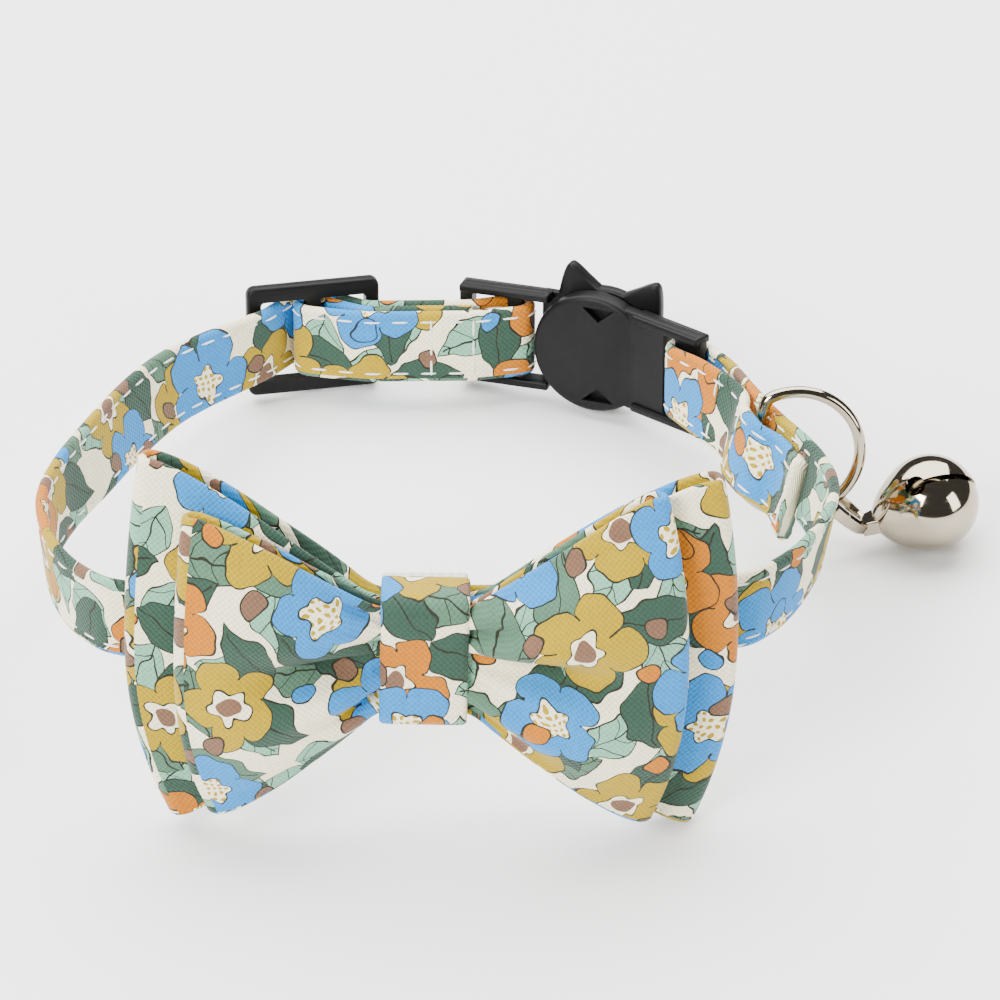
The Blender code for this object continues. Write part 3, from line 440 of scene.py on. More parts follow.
def scattered(tree, vector, shift, turn, spacing, looseness):
    """Places one kind of motif over the print, on its own shifted and turned grid."""
    grid = add(tree, "ShaderNodeMapping",
               {"Vector": vector, "Location": (*shift, 0.0), "Rotation": (0.0, 0.0, math.radians(turn))})
    return add(tree, "ShaderNodeGroup", node_tree=scatter,
               inputs={"Vector": grid, "Spacing": spacing, "Scatter": looseness})


def inked(tree, under, colour, edge):
    """Prints a colour where the edge distance is negative, with a thin line along the edge."""
    fill = add(tree, "ShaderNodeMath", {0: edge, 1: 0.0}, operation="LESS_THAN")
    over = add(tree, "ShaderNodeMix", {0: fill, 6: under, 7: colour}, data_type="RGBA")
    near = add(tree, "ShaderNodeMath", {0: edge, 1: 0.0, 2: LINE_WIDTH / 2}, operation="COMPARE")
    line = add(tree, "ShaderNodeMix", {0: near, 6: over.outputs[2], 7: linear(INK_LINE)}, data_type="RGBA")
    return line.outputs[2]


def ramp(tree, value, stops):
    """Chooses one of a few inks by a drawn value."""
    made = add(tree, "ShaderNodeValToRGB", {"Fac": value})
    made.color_ramp.interpolation = "CONSTANT"
    while len(made.color_ramp.elements) < len(stops):
        made.color_ramp.elements.new(0.5)
    for element, (place, colour) in zip(made.color_ramp.elements, stops):
        element.position = place
        element.color = linear(colour)
    return made.outputs[0]


def print_leaves(tree, under, vector, shift, turn, spacing, half_length, half_width, inks, veined):
    """Pointed leaves, broadest below their middle, with a midrib and, on pale ones, side veins."""
    leaf = scattered(tree, vector, shift, turn, spacing, LEAF_LOOSENESS)
    share = add(tree, "ShaderNodeMath", {0: leaf.outputs["Along"], 1: half_length}, operation="DIVIDE")
    square = add(tree, "ShaderNodeMath", {0: share, 1: share}, operation="MULTIPLY")
    taper = add(tree, "ShaderNodeMath", {0: 1.0, 1: square}, operation="SUBTRACT")
    swell = add(tree, "ShaderNodeMath", {0: share, 1: LEAF_FULL_END * half_width, 2: half_width},
                operation="MULTIPLY_ADD")
    width = add(tree, "ShaderNodeMath", {0: taper, 1: swell}, operation="MULTIPLY")
    across = add(tree, "ShaderNodeMath", {0: leaf.outputs["Across"]}, operation="ABSOLUTE")
    edge = add(tree, "ShaderNodeMath", {0: across, 1: width}, operation="SUBTRACT")
    colour = ramp(tree, leaf.outputs["Draw"], inks)
    rib = add(tree, "ShaderNodeMath", {0: across, 1: 0.0, 2: LINE_WIDTH / 2}, operation="COMPARE")
    if veined:
        slant = add(tree, "ShaderNodeMath", {0: across, 1: VEIN_SLANT, 2: leaf.outputs["Along"]},
                    operation="MULTIPLY_ADD")
        rest = add(tree, "ShaderNodeMath", {0: slant, 1: half_length / 3}, operation="PINGPONG")
        vein = add(tree, "ShaderNodeMath", {0: rest, 1: VEIN_WIDTH}, operation="LESS_THAN")
        rib = add(tree, "ShaderNodeMath", {0: rib, 1: vein}, operation="MAXIMUM")
    inside = add(tree, "ShaderNodeMath", {0: share, 1: RIB_REACH}, operation="LESS_THAN")
    rib = add(tree, "ShaderNodeMath", {0: rib, 1: inside}, operation="MULTIPLY")
    ribbed = add(tree, "ShaderNodeMix", {0: rib, 6: colour, 7: linear(INK_LINE)}, data_type="RGBA")
    return inked(tree, under, ribbed.outputs[2], edge)


def print_blooms(tree, under, vector, shift, turn, spacing, radius, petals, inks, dotted):
    """Open blooms with rounded petals, a line between each two, and a pale toothed middle."""
    bloom = scattered(tree, vector, shift, turn, spacing, BLOOM_LOOSENESS)
    along, across = bloom.outputs["Along"], bloom.outputs["Across"]
    spoke = add(tree, "ShaderNodeCombineXYZ", {"X": along, "Y": across})
    reach = add(tree, "ShaderNodeVectorMath", {0: spoke}, operation="LENGTH").outputs["Value"]
    angle = add(tree, "ShaderNodeMath", {0: across, 1: along}, operation="ARCTAN2")
    wave = add(tree, "ShaderNodeMath", {0: angle, 1: petals / 2}, operation="MULTIPLY")
    wave = add(tree, "ShaderNodeMath", {0: wave}, operation="COSINE")
    wave = add(tree, "ShaderNodeMath", {0: wave}, operation="ABSOLUTE")
    lobe = add(tree, "ShaderNodeMath", {0: wave, 1: PETAL_ROUNDNESS}, operation="POWER")
    size = add(tree, "ShaderNodeMapRange", {"Value": bloom.outputs["Second Draw"],
                                            "To Min": SMALLEST_BLOOM * radius, "To Max": radius})
    outline = add(tree, "ShaderNodeMath", {0: lobe, 1: PETAL_SWELL, 2: 1.0 - PETAL_SWELL},
                  operation="MULTIPLY_ADD")
    outline = add(tree, "ShaderNodeMath", {0: outline, 1: size}, operation="MULTIPLY")
    edge = add(tree, "ShaderNodeMath", {0: reach, 1: outline}, operation="SUBTRACT")
    notch = add(tree, "ShaderNodeMath", {0: wave, 1: reach}, operation="MULTIPLY")
    notch = add(tree, "ShaderNodeMath", {0: notch, 1: LINE_WIDTH * petals / 4}, operation="LESS_THAN")
    outer = add(tree, "ShaderNodeMath", {0: reach, 1: PETAL_LINE_START * radius}, operation="GREATER_THAN")
    notch = add(tree, "ShaderNodeMath", {0: notch, 1: outer}, operation="MULTIPLY")
    colour = ramp(tree, bloom.outputs["Draw"], inks)
    colour = add(tree, "ShaderNodeMix", {0: notch, 6: colour, 7: linear(INK_LINE)}, data_type="RGBA")
    teeth = add(tree, "ShaderNodeMath", {0: angle, 1: petals}, operation="MULTIPLY")
    teeth = add(tree, "ShaderNodeMath", {0: teeth}, operation="COSINE")
    middle = add(tree, "ShaderNodeMath", {0: teeth, 1: HEART_TEETH * radius, 2: HEART * radius},
                 operation="MULTIPLY_ADD")
    middle = add(tree, "ShaderNodeMath", {0: reach, 1: middle}, operation="SUBTRACT")
    if dotted:
        dots = add(tree, "ShaderNodeTexVoronoi", voronoi_dimensions="2D",
                   inputs={"Vector": spoke, "Scale": 1 / DOT_SPACING, "Randomness": 0.25})
        mark = add(tree, "ShaderNodeMath", {0: dots.outputs["Distance"], 1: DOT_RADIUS},
                   operation="LESS_THAN")
    else:
        mark = add(tree, "ShaderNodeMath", {0: reach, 1: CORE * radius}, operation="LESS_THAN")
    mark_ink = linear(INK_MUSTARD if dotted else INK_MAUVE)
    heart = add(tree, "ShaderNodeMix", {0: mark, 6: linear(INK_CREAM), 7: mark_ink}, data_type="RGBA")
    petalled = inked(tree, under, colour.outputs[2], edge)
    return inked(tree, petalled, heart.outputs[2], middle)


def printed_cotton(name, shift=(0.0, 0.0), turn=0.0):
    """The printed cloth, cut from another place of the roll by its shift and turn."""
    made, tree, shader = new_material(name)
    cloth = add(tree, "ShaderNodeUVMap", uv_map="cloth_mm")
    cut = add(tree, "ShaderNodeMapping",
              {"Vector": cloth, "Location": (*shift, 0.0), "Rotation": (0.0, 0.0, math.radians(turn))})
    drift = add(tree, "ShaderNodeTexNoise", {"Vector": cut, "Scale": 0.24, "Detail": 1.0},
                noise_dimensions="2D")
    drift = add(tree, "ShaderNodeVectorMath", {0: drift.outputs["Color"], 1: (0.5, 0.5, 0.5)},
                operation="SUBTRACT")
    drift = add(tree, "ShaderNodeVectorMath", {0: drift, "Scale": HAND_DRIFT}, operation="SCALE")
    hand = add(tree, "ShaderNodeVectorMath", {0: cut, 1: drift}, operation="ADD")
    inks = linear(INK_CREAM)
    inks = print_leaves(tree, inks, hand, (3.1, 7.7), 24.0, 8.6, 4.5, 2.6,
                        ((0.0, INK_MINT), (0.45, INK_SAGE), (0.75, INK_MINT)), True)
    inks = print_leaves(tree, inks, hand, (9.4, 1.3), -37.0, 9.8, 5.2, 2.9,
                        ((0.0, INK_DARK_GREEN), (0.5, INK_SAGE), (0.7, INK_DARK_GREEN)), False)
    inks = print_blooms(tree, inks, hand, (2.0, 3.0), 12.0, 18.0, 7.2, 5,
                        ((0.0, INK_MUSTARD), (0.62, INK_ORANGE), (0.8, INK_MUSTARD)), False)
    inks = print_blooms(tree, inks, hand, (10.6, 9.4), -20.0, 22.5, 7.4, 5,
                        ((0.0, INK_BLUE), (0.66, INK_ORANGE), (0.82, INK_BLUE)), True)
    bud = scattered(tree, hand, (5.0, 12.0), 41.0, BUD_SPACING, BUD_LOOSENESS)
    reach = add(tree, "ShaderNodeCombineXYZ", {"X": bud.outputs["Along"], "Y": bud.outputs["Across"]})
    reach = add(tree, "ShaderNodeVectorMath", {0: reach}, operation="LENGTH").outputs["Value"]
    round_bud = add(tree, "ShaderNodeMath", {0: reach, 1: BUD_RADIUS}, operation="SUBTRACT")
    bud_ink = ramp(tree, bud.outputs["Draw"],
                   ((0.0, INK_MAUVE), (0.5, INK_ORANGE), (0.72, INK_BLUE), (0.85, INK_MAUVE)))
    inks = inked(tree, inks, bud_ink, round_bud)

    # Weave: one thread over, one under, painted into the colour as painted shade between the threads and
    # painted highlight on them, and each thread slightly its own colour and thickness.
    thread = add(tree, "ShaderNodeVectorMath", {0: cloth, "Scale": math.pi / THREAD}, operation="SCALE")
    thread = add(tree, "ShaderNodeVectorMath", {0: thread}, operation="SINE")
    thread = add(tree, "ShaderNodeSeparateXYZ", {"Vector": thread})
    weave = add(tree, "ShaderNodeMath", {0: thread.outputs[0], 1: thread.outputs[1]}, operation="MULTIPLY")
    slubs = []
    for stretch in ((0.25, 3.2, 1.0), (3.2, 0.25, 1.0)):
        threads = add(tree, "ShaderNodeMapping", {"Vector": cloth, "Scale": stretch})
        slubs.append(add(tree, "ShaderNodeTexNoise", {"Vector": threads, "Scale": 1.0, "Detail": 2.0},
                         noise_dimensions="2D"))
    slub = add(tree, "ShaderNodeMath", {0: slubs[0], 1: slubs[1]}, operation="ADD")
    tone = add(tree, "ShaderNodeMapRange",
               {"Value": slub, "From Min": 0.6, "From Max": 1.4, "To Min": 0.9, "To Max": 1.06})
    # Painted light: the weave darkens the print between threads as painted shade and lightens it on them as
    # painted highlight, times each thread's own tone.
    shade = add(tree, "ShaderNodeMath", {0: weave, 1: WEAVE_PAINTED_LIGHT, 2: tone}, operation="MULTIPLY_ADD")
    cloth_colour = add(tree, "ShaderNodeVectorMath", {0: inks, "Scale": shade}, operation="SCALE")
    tree.links.new(cloth_colour.outputs[0], shader.inputs["Base Color"])
    relief = add(tree, "ShaderNodeMath", {0: slub, 1: 0.8, 2: weave}, operation="MULTIPLY_ADD")
    bump = add(tree, "ShaderNodeBump", {"Height": relief, "Distance": WEAVE_RELIEF, "Strength": 0.8})
    tree.links.new(bump.outputs[0], shader.inputs["Normal"])
    shader.inputs["Roughness"].default_value = 0.86
    shader.inputs["Sheen Weight"].default_value = 0.12
    shader.inputs["Sheen Roughness"].default_value = 0.5
    shader.inputs["Specular IOR Level"].default_value = 0.25
    return made


def finished(made, finish, node):
    """Gives a piece its material and puts it in the place of its CAD node."""
    made.data.materials.append(finish)
    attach(made, "root")
    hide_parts(node)
    return made


finished(strap, printed_cotton("printed_cotton_poplin"), "strap")


# ---------------------------------------------------------------------------
# Stitches
# White polyester thread in a running stitch along both edges of the strap, on both of its faces,
# and in short rows across it where the tail and the folded end are sewn down.
# ---------------------------------------------------------------------------

STITCH_LENGTH = 2.5
STITCH_DIP = 0.20
STITCH_STEPS = 6
THREAD_WIDTH = 0.30
THREAD_END = 0.12
THREAD_FLATNESS = 0.8
THREAD_SIDES = 6
THREAD_SEAT = 0.05
THREAD_COLOUR = "#F3F1EA"
CROSS_PITCH = 2.75
CROSS_HALF = 2.75

# Cross rows, by their distance along the strap: two through the tail and the layer before it, and,
# from the far end, two that close the folds round the ring's and the buckle's bars and one in the hem.
TAIL_ROWS = (0.9, 5.9, 42.7, 47.7)
END_ROWS = (23.4, 14.2, 1.2)


def skinned(name, rings, closed=True):
    """A smooth skin over a row of rings, which meets its own start or is capped at both ends."""
    shape = bmesh.new()
    verts = [[shape.verts.new(point) for point in ring] for ring in rings]
    count = len(verts[0])
    for i in range(len(verts) if closed else len(verts) - 1):
        ring, following = verts[i], verts[(i + 1) % len(verts)]
        for k in range(count):
            m = (k + 1) % count
            shape.faces.new((ring[k], ring[m], following[m], following[k]))
    if not closed:
        shape.faces.new(verts[0][::-1])
        shape.faces.new(verts[-1])
    bmesh.ops.recalc_face_normals(shape, faces=shape.faces[:])
    return smooth_mesh(name, shape)


def stitch_shape():
    """One stitch, lying along X: a short soft roll of thread that dips in at both ends."""
    rings = []
    for step in range(STITCH_STEPS + 1):
        share = step / STITCH_STEPS * 2 - 1
        thick = max(THREAD_END, (1.0 - share ** 4)) * THREAD_WIDTH / 2
        lift = -STITCH_DIP * share ** 4
        ring = []
        for k in range(THREAD_SIDES):
            angle = 2 * math.pi * k / THREAD_SIDES
            ring.append(Vector((share * STITCH_LENGTH / 2, math.cos(angle) * thick,
                                lift + math.sin(angle) * thick * THREAD_FLATNESS)) * MM)
        rings.append(ring)
    return set_down("stitch_shape", skinned("stitch_shape", rings, closed=False))


# Polyester sewing thread, spun: matt white with a faint twist along it.
thread_material, tree, shader = new_material("spun_polyester_thread")
place = add(tree, "ShaderNodeTexCoord")
twist = add(tree, "ShaderNodeTexWave", {"Vector": place.outputs["Object"], "Scale": 900.0, "Distortion": 2.0},
            bands_direction="DIAGONAL")
tone = add(tree, "ShaderNodeMapRange", {"Value": twist.outputs["Fac"], "To Min": 0.86, "To Max": 1.0})
colour = add(tree, "ShaderNodeVectorMath", {0: linear(THREAD_COLOUR)[:3], "Scale": tone}, operation="SCALE")
tree.links.new(colour.outputs[0], shader.inputs["Base Color"])
shader.inputs["Roughness"].default_value = 0.7
shader.inputs["Sheen Weight"].default_value = 0.2


def stitching_tree():
    """Geometry nodes: stitches at an even pitch along lines, each along its line and facing out."""
    group = bpy.data.node_groups.new("running_stitch", "GeometryNodeTree")
    face = group.interface
    face.new_socket("Lines", in_out="INPUT", socket_type="NodeSocketGeometry")
    face.new_socket("Pitch", in_out="INPUT", socket_type="NodeSocketFloat")
    face.new_socket("Stitch", in_out="INPUT", socket_type="NodeSocketObject")
    face.new_socket("Thread", in_out="INPUT", socket_type="NodeSocketMaterial")
    face.new_socket("Stitches", in_out="OUTPUT", socket_type="NodeSocketGeometry")
    given = add(group, "NodeGroupInput")
    lines = add(group, "GeometryNodeMeshToCurve", {"Mesh": given.outputs["Lines"]})
    even = add(group, "GeometryNodeResampleCurve", {"Curve": lines, "Length": given.outputs["Pitch"]},
               mode="LENGTH")
    out = add(group, "GeometryNodeInputNamedAttribute", {"Name": "outward"}, data_type="FLOAT_VECTOR")
    along = add(group, "GeometryNodeInputTangent")
    facing = add(group, "FunctionNodeAxesToRotation", {"Primary Axis": out, "Secondary Axis": along},
                 primary_axis="Z", secondary_axis="X")
    shape = add(group, "GeometryNodeObjectInfo", {"Object": given.outputs["Stitch"]})
    placed = add(group, "GeometryNodeInstanceOnPoints",
                 {"Points": even, "Instance": shape.outputs["Geometry"], "Rotation": facing})
    solid = add(group, "GeometryNodeRealizeInstances", {"Geometry": placed})
    dressed = add(group, "GeometryNodeSetMaterial", {"Geometry": solid, "Material": given.outputs["Thread"]})
    add(group, "NodeGroupOutput", {"Stitches": dressed})
    return group


def stitch_lines(name, lines):
    """Loose edges for the stitches to follow; every point carries the way it faces."""
    mesh = bpy.data.meshes.new(name)
    points, edges, ways = [], [], []
    for line in lines:
        first = len(points)
        points += [tuple(COLLAR @ point) for point, _ in line]
        ways += [COLLAR.to_3x3() @ way for _, way in line]
        edges += [(first + i, first + i + 1) for i in range(len(line) - 1)]
    mesh.from_pydata(points, edges, [])
    facing = mesh.attributes.new("outward", "FLOAT_VECTOR", "POINT")
    for item, way in zip(facing.data, ways):
        item.vector = way.normalized()
    return set_down(name, mesh)


def grown(made, group, values):
    """Runs a node tree on an object and keeps the result as its plain mesh."""
    run = made.modifiers.new(group.name, "NODES")
    run.node_group = group
    keys = {item.name: item.identifier for item in group.interface.items_tree if item.in_out == "INPUT"}
    for name, value in values.items():
        run[keys[name]] = value
    made.update_tag()
    bpy.context.view_layer.update()
    shaped = bpy.data.meshes.new_from_object(made.evaluated_get(bpy.context.evaluated_depsgraph_get()))
    made.modifiers.clear()
    made.data = shaped
    made.data.name = made.name
    return made


def stitch_point(row, offset, face_way):
    """A point on a face of the strap, and the way that face looks."""
    middle, wide, out = strap_frame(row)
    depth = strap_wall(strap_marks[row], offset) / 2 + THREAD_SEAT
    return middle + wide * offset + out * depth * face_way, out * face_way


edge_lines = []
for face_way in (1, -1):
    for edge in (1, -1):
        offset = edge * (STRAP_WIDTH / 2 - STITCH_INSET)
        edge_lines.append([stitch_point(row, offset, face_way) for row in range(2, len(strap_route) - 3)])

cross_lines = []
for mark in (*TAIL_ROWS, *(strap_marks[-1] - back for back in END_ROWS)):
    row = min(bisect_right(strap_marks, mark), len(strap_route) - 2)
    cross_lines.append([stitch_point(row, share * CROSS_HALF, 1) for share in (-1.0, -0.5, 0.0, 0.5, 1.0)])

stitch = stitch_shape()
stitching = stitching_tree()
for name, lines, pitch in (("edge_stitches", edge_lines, STITCH_PITCH),
                           ("cross_stitches", cross_lines, CROSS_PITCH)):
    made = grown(stitch_lines(name, lines), stitching,
                 {"Pitch": pitch * MM, "Stitch": stitch, "Thread": thread_material})
    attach(made, "root")
bpy.data.objects.remove(stitch)


# ---------------------------------------------------------------------------
# Bow
# Two flattened loops of the printed cotton, each with a stiffened wall, lie one on the other and are
# gathered in the middle with a pleat. Each loop's ends are its open top and bottom. A band of the
# same cloth is wound round the middle, and a loop of elastic behind it holds the bow on the strap.
# Each loop's cut narrows in straight lines from its two folds to a waist at the knot.
# ---------------------------------------------------------------------------

BOW_ACROSS = -1.3
BOW_LIFT = -0.4
BOW_ROLL = math.radians(1.5)
BOW_WALL = 1.0
GATHER_HALF = 6.6
KNOT_BACK = -2.6
LAYER_STEP = 1.3
BACK_LAYER = KNOT_BACK - 1.5 * LAYER_STEP
KNOT_FRONT = KNOT_BACK - 5 * LAYER_STEP
PUFFS = {"bow_back": 3.4, "bow_front": 3.6}
PUFF_BEHIND = 1.4
EDGE_FLATNESS = 0.78
LAYER_ROOM = 0.8
FOLD_ROUND = 0.9
PLEAT_DEPTH = 3.0
GATHER_DEPTH = 0.5
GATHER_BEHIND = 0.9
GRID = 44
FOLD_STEPS = 8
EASING_SHIFTS = (-0.05, -0.02, 0.02, 0.05)

# The small gathers: share of the span at which they are deepest, their reach to each side of it,
# how quickly they follow each other up the wing, and how each side and layer shifts them.
GATHER_PEAK = 0.24
GATHER_REACH = 0.22
GATHER_WAVES = 13.0
GATHER_SIDE_SHIFT = 1.7
GATHER_LAYER_SHIFT = {"bow_back": 0.8, "bow_front": 0.0}

# The pleat's width and how it widens, and the sharp crease beside it, in the same shares.
PLEAT_WIDTH = 0.16
PLEAT_WIDENS = 0.12
CREASE_DEPTH = 0.75
CREASE_PEAK = 0.3
CREASE_REACH = 0.22
CREASE_WIDTH = 0.05
CREASE_WIDENS = 0.05
CREASE_RISE = 0.10
CREASE_BEND = 0.05
CREASE_WAVES = 5.0

# Span from the middle to the fold, heights of its top and bottom, and the shares of the span
# that they reach, for each side of each layer.
WINGS = {
    ("bow_back", -1): (33.2, 23.9, 22.9, 0.95, 0.85),
    ("bow_back", 1): (34.7, 22.8, 22.3, 0.93, 0.885),
    ("bow_front", -1): (27.2, 18.6, 20.5, 0.97, 0.865),
    ("bow_front", 1): (28.9, 22.3, 20.3, 0.895, 0.885),
}

# From the knot to the fold: share of the span, and the shares there of the height, puff and pleat.
WING_MARKS = (0.0, 0.10, 0.19, 0.26, 0.38, 0.52, 0.67, 0.82, 0.93, 1.0)
WING_TALL = (0.0, 0.0, 0.0, 0.12, 0.29, 0.48, 0.68, 0.85, 0.955, 1.0)
WING_PUFF = (0.0, 0.0, 0.0, 0.40, 0.74, 0.95, 1.0, 0.88, 0.66, 0.45)
WING_PLEAT = (0.0, 0.2, 0.6, 1.0, 0.95, 0.70, 0.40, 0.18, 0.06, 0.0)


def eased(values, mark):
    """Reads a row of the wing tables with its corners rounded off."""
    near = [at_share(values, WING_MARKS, min(max(mark + shift, 0.0), 1.0)) for shift in EASING_SHIFTS]
    return sum(near) / len(near)


def wing_height(wing, out, up):
    """Half the height of a wing above or below its middle, part way out from the knot."""
    full = wing[1] if up >= 0 else wing[2]
    return GATHER_HALF + (full - GATHER_HALF) * eased(WING_TALL, out)


def gathers(layer, side, out, up, depth):
    """Small folds that fan out of the knot and run out halfway to the loop's fold."""
    fan = math.exp(-((out - GATHER_PEAK) / GATHER_REACH) ** 2)
    return depth * fan * math.cos(GATHER_WAVES * up + GATHER_SIDE_SHIFT * side + GATHER_LAYER_SHIFT[layer])


def creases(layer, side, out, up):
    """The pleat's valley, with the sharper crease and the small gathers that run out of the knot."""
    valley = PLEAT_DEPTH * eased(WING_PLEAT, out) * math.exp(-(up / (PLEAT_WIDTH + PLEAT_WIDENS * out)) ** 2)
    rise = CREASE_RISE * side * out + CREASE_BEND * math.sin(CREASE_WAVES * out)
    sharp = CREASE_DEPTH * math.exp(-((up - rise) / (CREASE_WIDTH + CREASE_WIDENS * out)) ** 2)
    sharp *= math.exp(-((out - CREASE_PEAK) / CREASE_REACH) ** 2)
    return valley + sharp - gathers(layer, side, out, up, GATHER_DEPTH)


def panel_puff(layer, side, out, up):
    """How far a panel stands off its resting place."""
    lobe = 1.0 - EDGE_FLATNESS * up * up
    return max(PUFFS[layer] * eased(WING_PUFF, out) * lobe - creases(layer, side, out, up), 0.0)


def back_front(x, z):
    """Y of the back layer's front panel, which the front layer lies on."""
    side = 1 if x >= 0 else -1
    wing = WINGS["bow_back", side]
    out = min(abs(x) / wing[0], 1.0)
    up = max(-1.0, min(1.0, z / wing_height(wing, out, z)))
    return BACK_LAYER - LAYER_STEP / 2 - panel_puff("bow_back", side, out, up)


def layer_point(layer, side, out, face, up):
    """A point of a layer's middle surface; face is -1 on the front panel and 1 on the back one."""
    wing = WINGS[layer, side]
    span, _, _, top_in, bottom_in = wing
    drawn_in = top_in if up >= 0 else bottom_in
    x = side * span * out * (1.0 - (1.0 - drawn_in) * up * up * out)
    height = wing_height(wing, out, up)
    z = up * (height - BOW_WALL / 2)
    if layer == "bow_back":
        if face > 0:
            stand_off = PUFF_BEHIND * eased(WING_PUFF, out) + gathers(layer, side, out, up, GATHER_BEHIND)
            return Vector((x, BACK_LAYER + LAYER_STEP / 2 + max(stand_off, 0.0), z))
        return Vector((x, back_front(x, z), z))
    lies_on = back_front(x, z) - LAYER_STEP - LAYER_ROOM * eased(WING_PUFF, out)
    if face > 0:
        return Vector((x, lies_on, z))
    return Vector((x, lies_on - LAYER_STEP - panel_puff(layer, side, out, up), z))


def bow_loop(layer):
    """Rows round a layer's loop: across its front, round a fold, back behind and round the other."""
    ups = [2 * i / GRID - 1.0 for i in range(GRID + 1)]
    outs = [i / GRID for i in range(GRID + 1)]
    rows = []
    for face, first in ((-1, -1), (1, 1)):
        second = -first
        places = [(first, out) for out in reversed(outs)] + [(second, out) for out in outs[1:]]
        rows += [[layer_point(layer, side, out, face, up) for up in ups] for side, out in places]
        for step in range(1, FOLD_STEPS):
            angle = math.pi * step / FOLD_STEPS
            row = []
            for up in ups:
                here = layer_point(layer, second, 1.0, face, up)
                there = layer_point(layer, second, 1.0, -face, up)
                point = (here + there) / 2 + (here - there) / 2 * math.cos(angle)
                point.x += second * FOLD_ROUND * math.sin(angle)
                row.append(point)
            rows.append(row)
    return rows


bow_seat = Matrix.Translation((BOW_ACROSS, 0.0, BOW_LIFT)) @ Matrix.Rotation(BOW_ROLL, 4, "Y")


def bow_piece(name, rows, finish, node, start=(0.0, 0.0)):
    """A closed loop of the bow's cloth, set on its place on the strap and turned a little."""
    seated = [[bow_seat @ point for point in row] for row in rows]
    made = cloth_strip(name, seated, lambda i, j: BOW_WALL, closed=True, start=start)
    return finished(made, finish, node)


bow_cloth = printed_cotton("bow_cotton_poplin", (21.0, 6.0), 8.0)
for layer, start in (("bow_back", (4.0, 90.0)), ("bow_front", (61.0, 23.0))):
    rows = bow_loop(layer)
    made = bow_piece(layer + "_cloth", rows, bow_cloth, layer, start)

KNOT_WIDTH = 10.2
KNOT_HEIGHT = 17.0
KNOT_CORNER = 1.6
KNOT_CROWN = 0.3
KNOT_RIPPLE = 0.12
RIPPLE_UP = 0.55
RIPPLE_ACROSS = 2.2
KNOT_GRID = 20
KEEPER_WIDTH = 10.0
KEEPER_WALL = 0.8
KEEPER_ROOM = 0.3
KEEPER_CORNER = 0.6
KEEPER_GRID = 12
WOUND_STEP = 0.45
ELASTIC_COLOUR = "#EDEBE4"


def wound(half_y, half_z, corner, steps):
    """Rounded rectangle in Y and Z, from the middle of its back and round over its top."""
    points = []
    for sign_y, sign_z, first in ((1, 1, 0), (-1, 1, 90), (-1, -1, 180), (1, -1, 270)):
        for step in range(steps + 1):
            angle = math.radians(first + 90.0 * step / steps)
            points.append(Vector((0.0, sign_y * (half_y - corner) + corner * math.cos(angle),
                                  sign_z * (half_z - corner) + corner * math.sin(angle))))
    ring = [points[-1].lerp(points[0], 0.5)] + points
    marks = walked(ring + [ring[0]])
    count = round(marks[-1] / WOUND_STEP)
    return [at_share(ring + [ring[0]], marks, marks[-1] * i / count) for i in range(count)]


def knot_rows():
    """Rows round the knot, crowned and a little rippled on its front."""
    half_y = (KNOT_BACK - KNOT_FRONT) / 2
    half_x = (KNOT_WIDTH - BOW_WALL) / 2
    rows = []
    for point in wound(half_y, (KNOT_HEIGHT - BOW_WALL) / 2, KNOT_CORNER, 6):
        front = max(0.0, -point.y / half_y)
        row = []
        for k in range(KNOT_GRID + 1):
            share = 2 * k / KNOT_GRID - 1.0
            swell = KNOT_CROWN * (1.0 - share ** 4) * front
            soft = KNOT_RIPPLE * math.sin(RIPPLE_UP * point.z + RIPPLE_ACROSS * share) * front
            y = (KNOT_BACK + KNOT_FRONT) / 2 + point.y - swell + soft
            row.append(Vector((-share * half_x, y, point.z)))
        rows.append(row)
    return rows


rows = knot_rows()
knot_cloth = printed_cotton("knot_cotton_poplin", (3.0, 31.0), 90.0)
knot = bow_piece("bow_knot_band", rows, knot_cloth, "bow_knot")

# Knitted elastic, white: ribs along the band and fine loops between them, matt.
elastic, tree, shader = new_material("knitted_elastic")
cloth = add(tree, "ShaderNodeUVMap", uv_map="cloth_mm")
ribs = add(tree, "ShaderNodeTexWave", {"Vector": cloth, "Scale": 0.28, "Distortion": 0.0},
           bands_direction="Y")
loops = add(tree, "ShaderNodeTexWave", {"Vector": cloth, "Scale": 0.55, "Distortion": 0.0},
            bands_direction="X")
knit = add(tree, "ShaderNodeMath", {0: ribs.outputs["Fac"], 1: loops.outputs["Fac"]}, operation="MULTIPLY")
tone = add(tree, "ShaderNodeMapRange", {"Value": knit, "To Min": 0.72, "To Max": 0.98})
colour = add(tree, "ShaderNodeVectorMath", {0: linear(ELASTIC_COLOUR)[:3], "Scale": tone}, operation="SCALE")
tree.links.new(colour.outputs[0], shader.inputs["Base Color"])
bump = add(tree, "ShaderNodeBump", {"Height": knit, "Distance": 0.0001, "Strength": 0.6})
tree.links.new(bump.outputs[0], shader.inputs["Normal"])
shader.inputs["Roughness"].default_value = 0.85

half_y = STRAP_WALL / 2 + KEEPER_ROOM + KEEPER_WALL / 2
half_z = STRAP_WIDTH / 2 + KEEPER_ROOM + KEEPER_WALL / 2
half_x = (KEEPER_WIDTH - KEEPER_WALL) / 2
shares = [2 * k / KEEPER_GRID - 1.0 for k in range(KEEPER_GRID + 1)]
rows = [[Vector((BOW_ACROSS - half_x * share, point.y, point.z)) for share in shares]
        for point in wound(half_y, half_z, KEEPER_CORNER, 4)]
keeper = cloth_strip("bow_keeper_elastic", rows, lambda i, j: KEEPER_WALL, closed=True)
finished(keeper, elastic, "bow_keeper")


# ---------------------------------------------------------------------------
# Slider and buckle
# Moulded black acetal. The slider is a flat ladder of one frame and a middle bar. The buckle opens at
# its round head: one half carries the outer plate with two ears, the other the disc that lies
# against it, with two small notches. Each half ends in a frame whose bar the strap goes round.
# ---------------------------------------------------------------------------

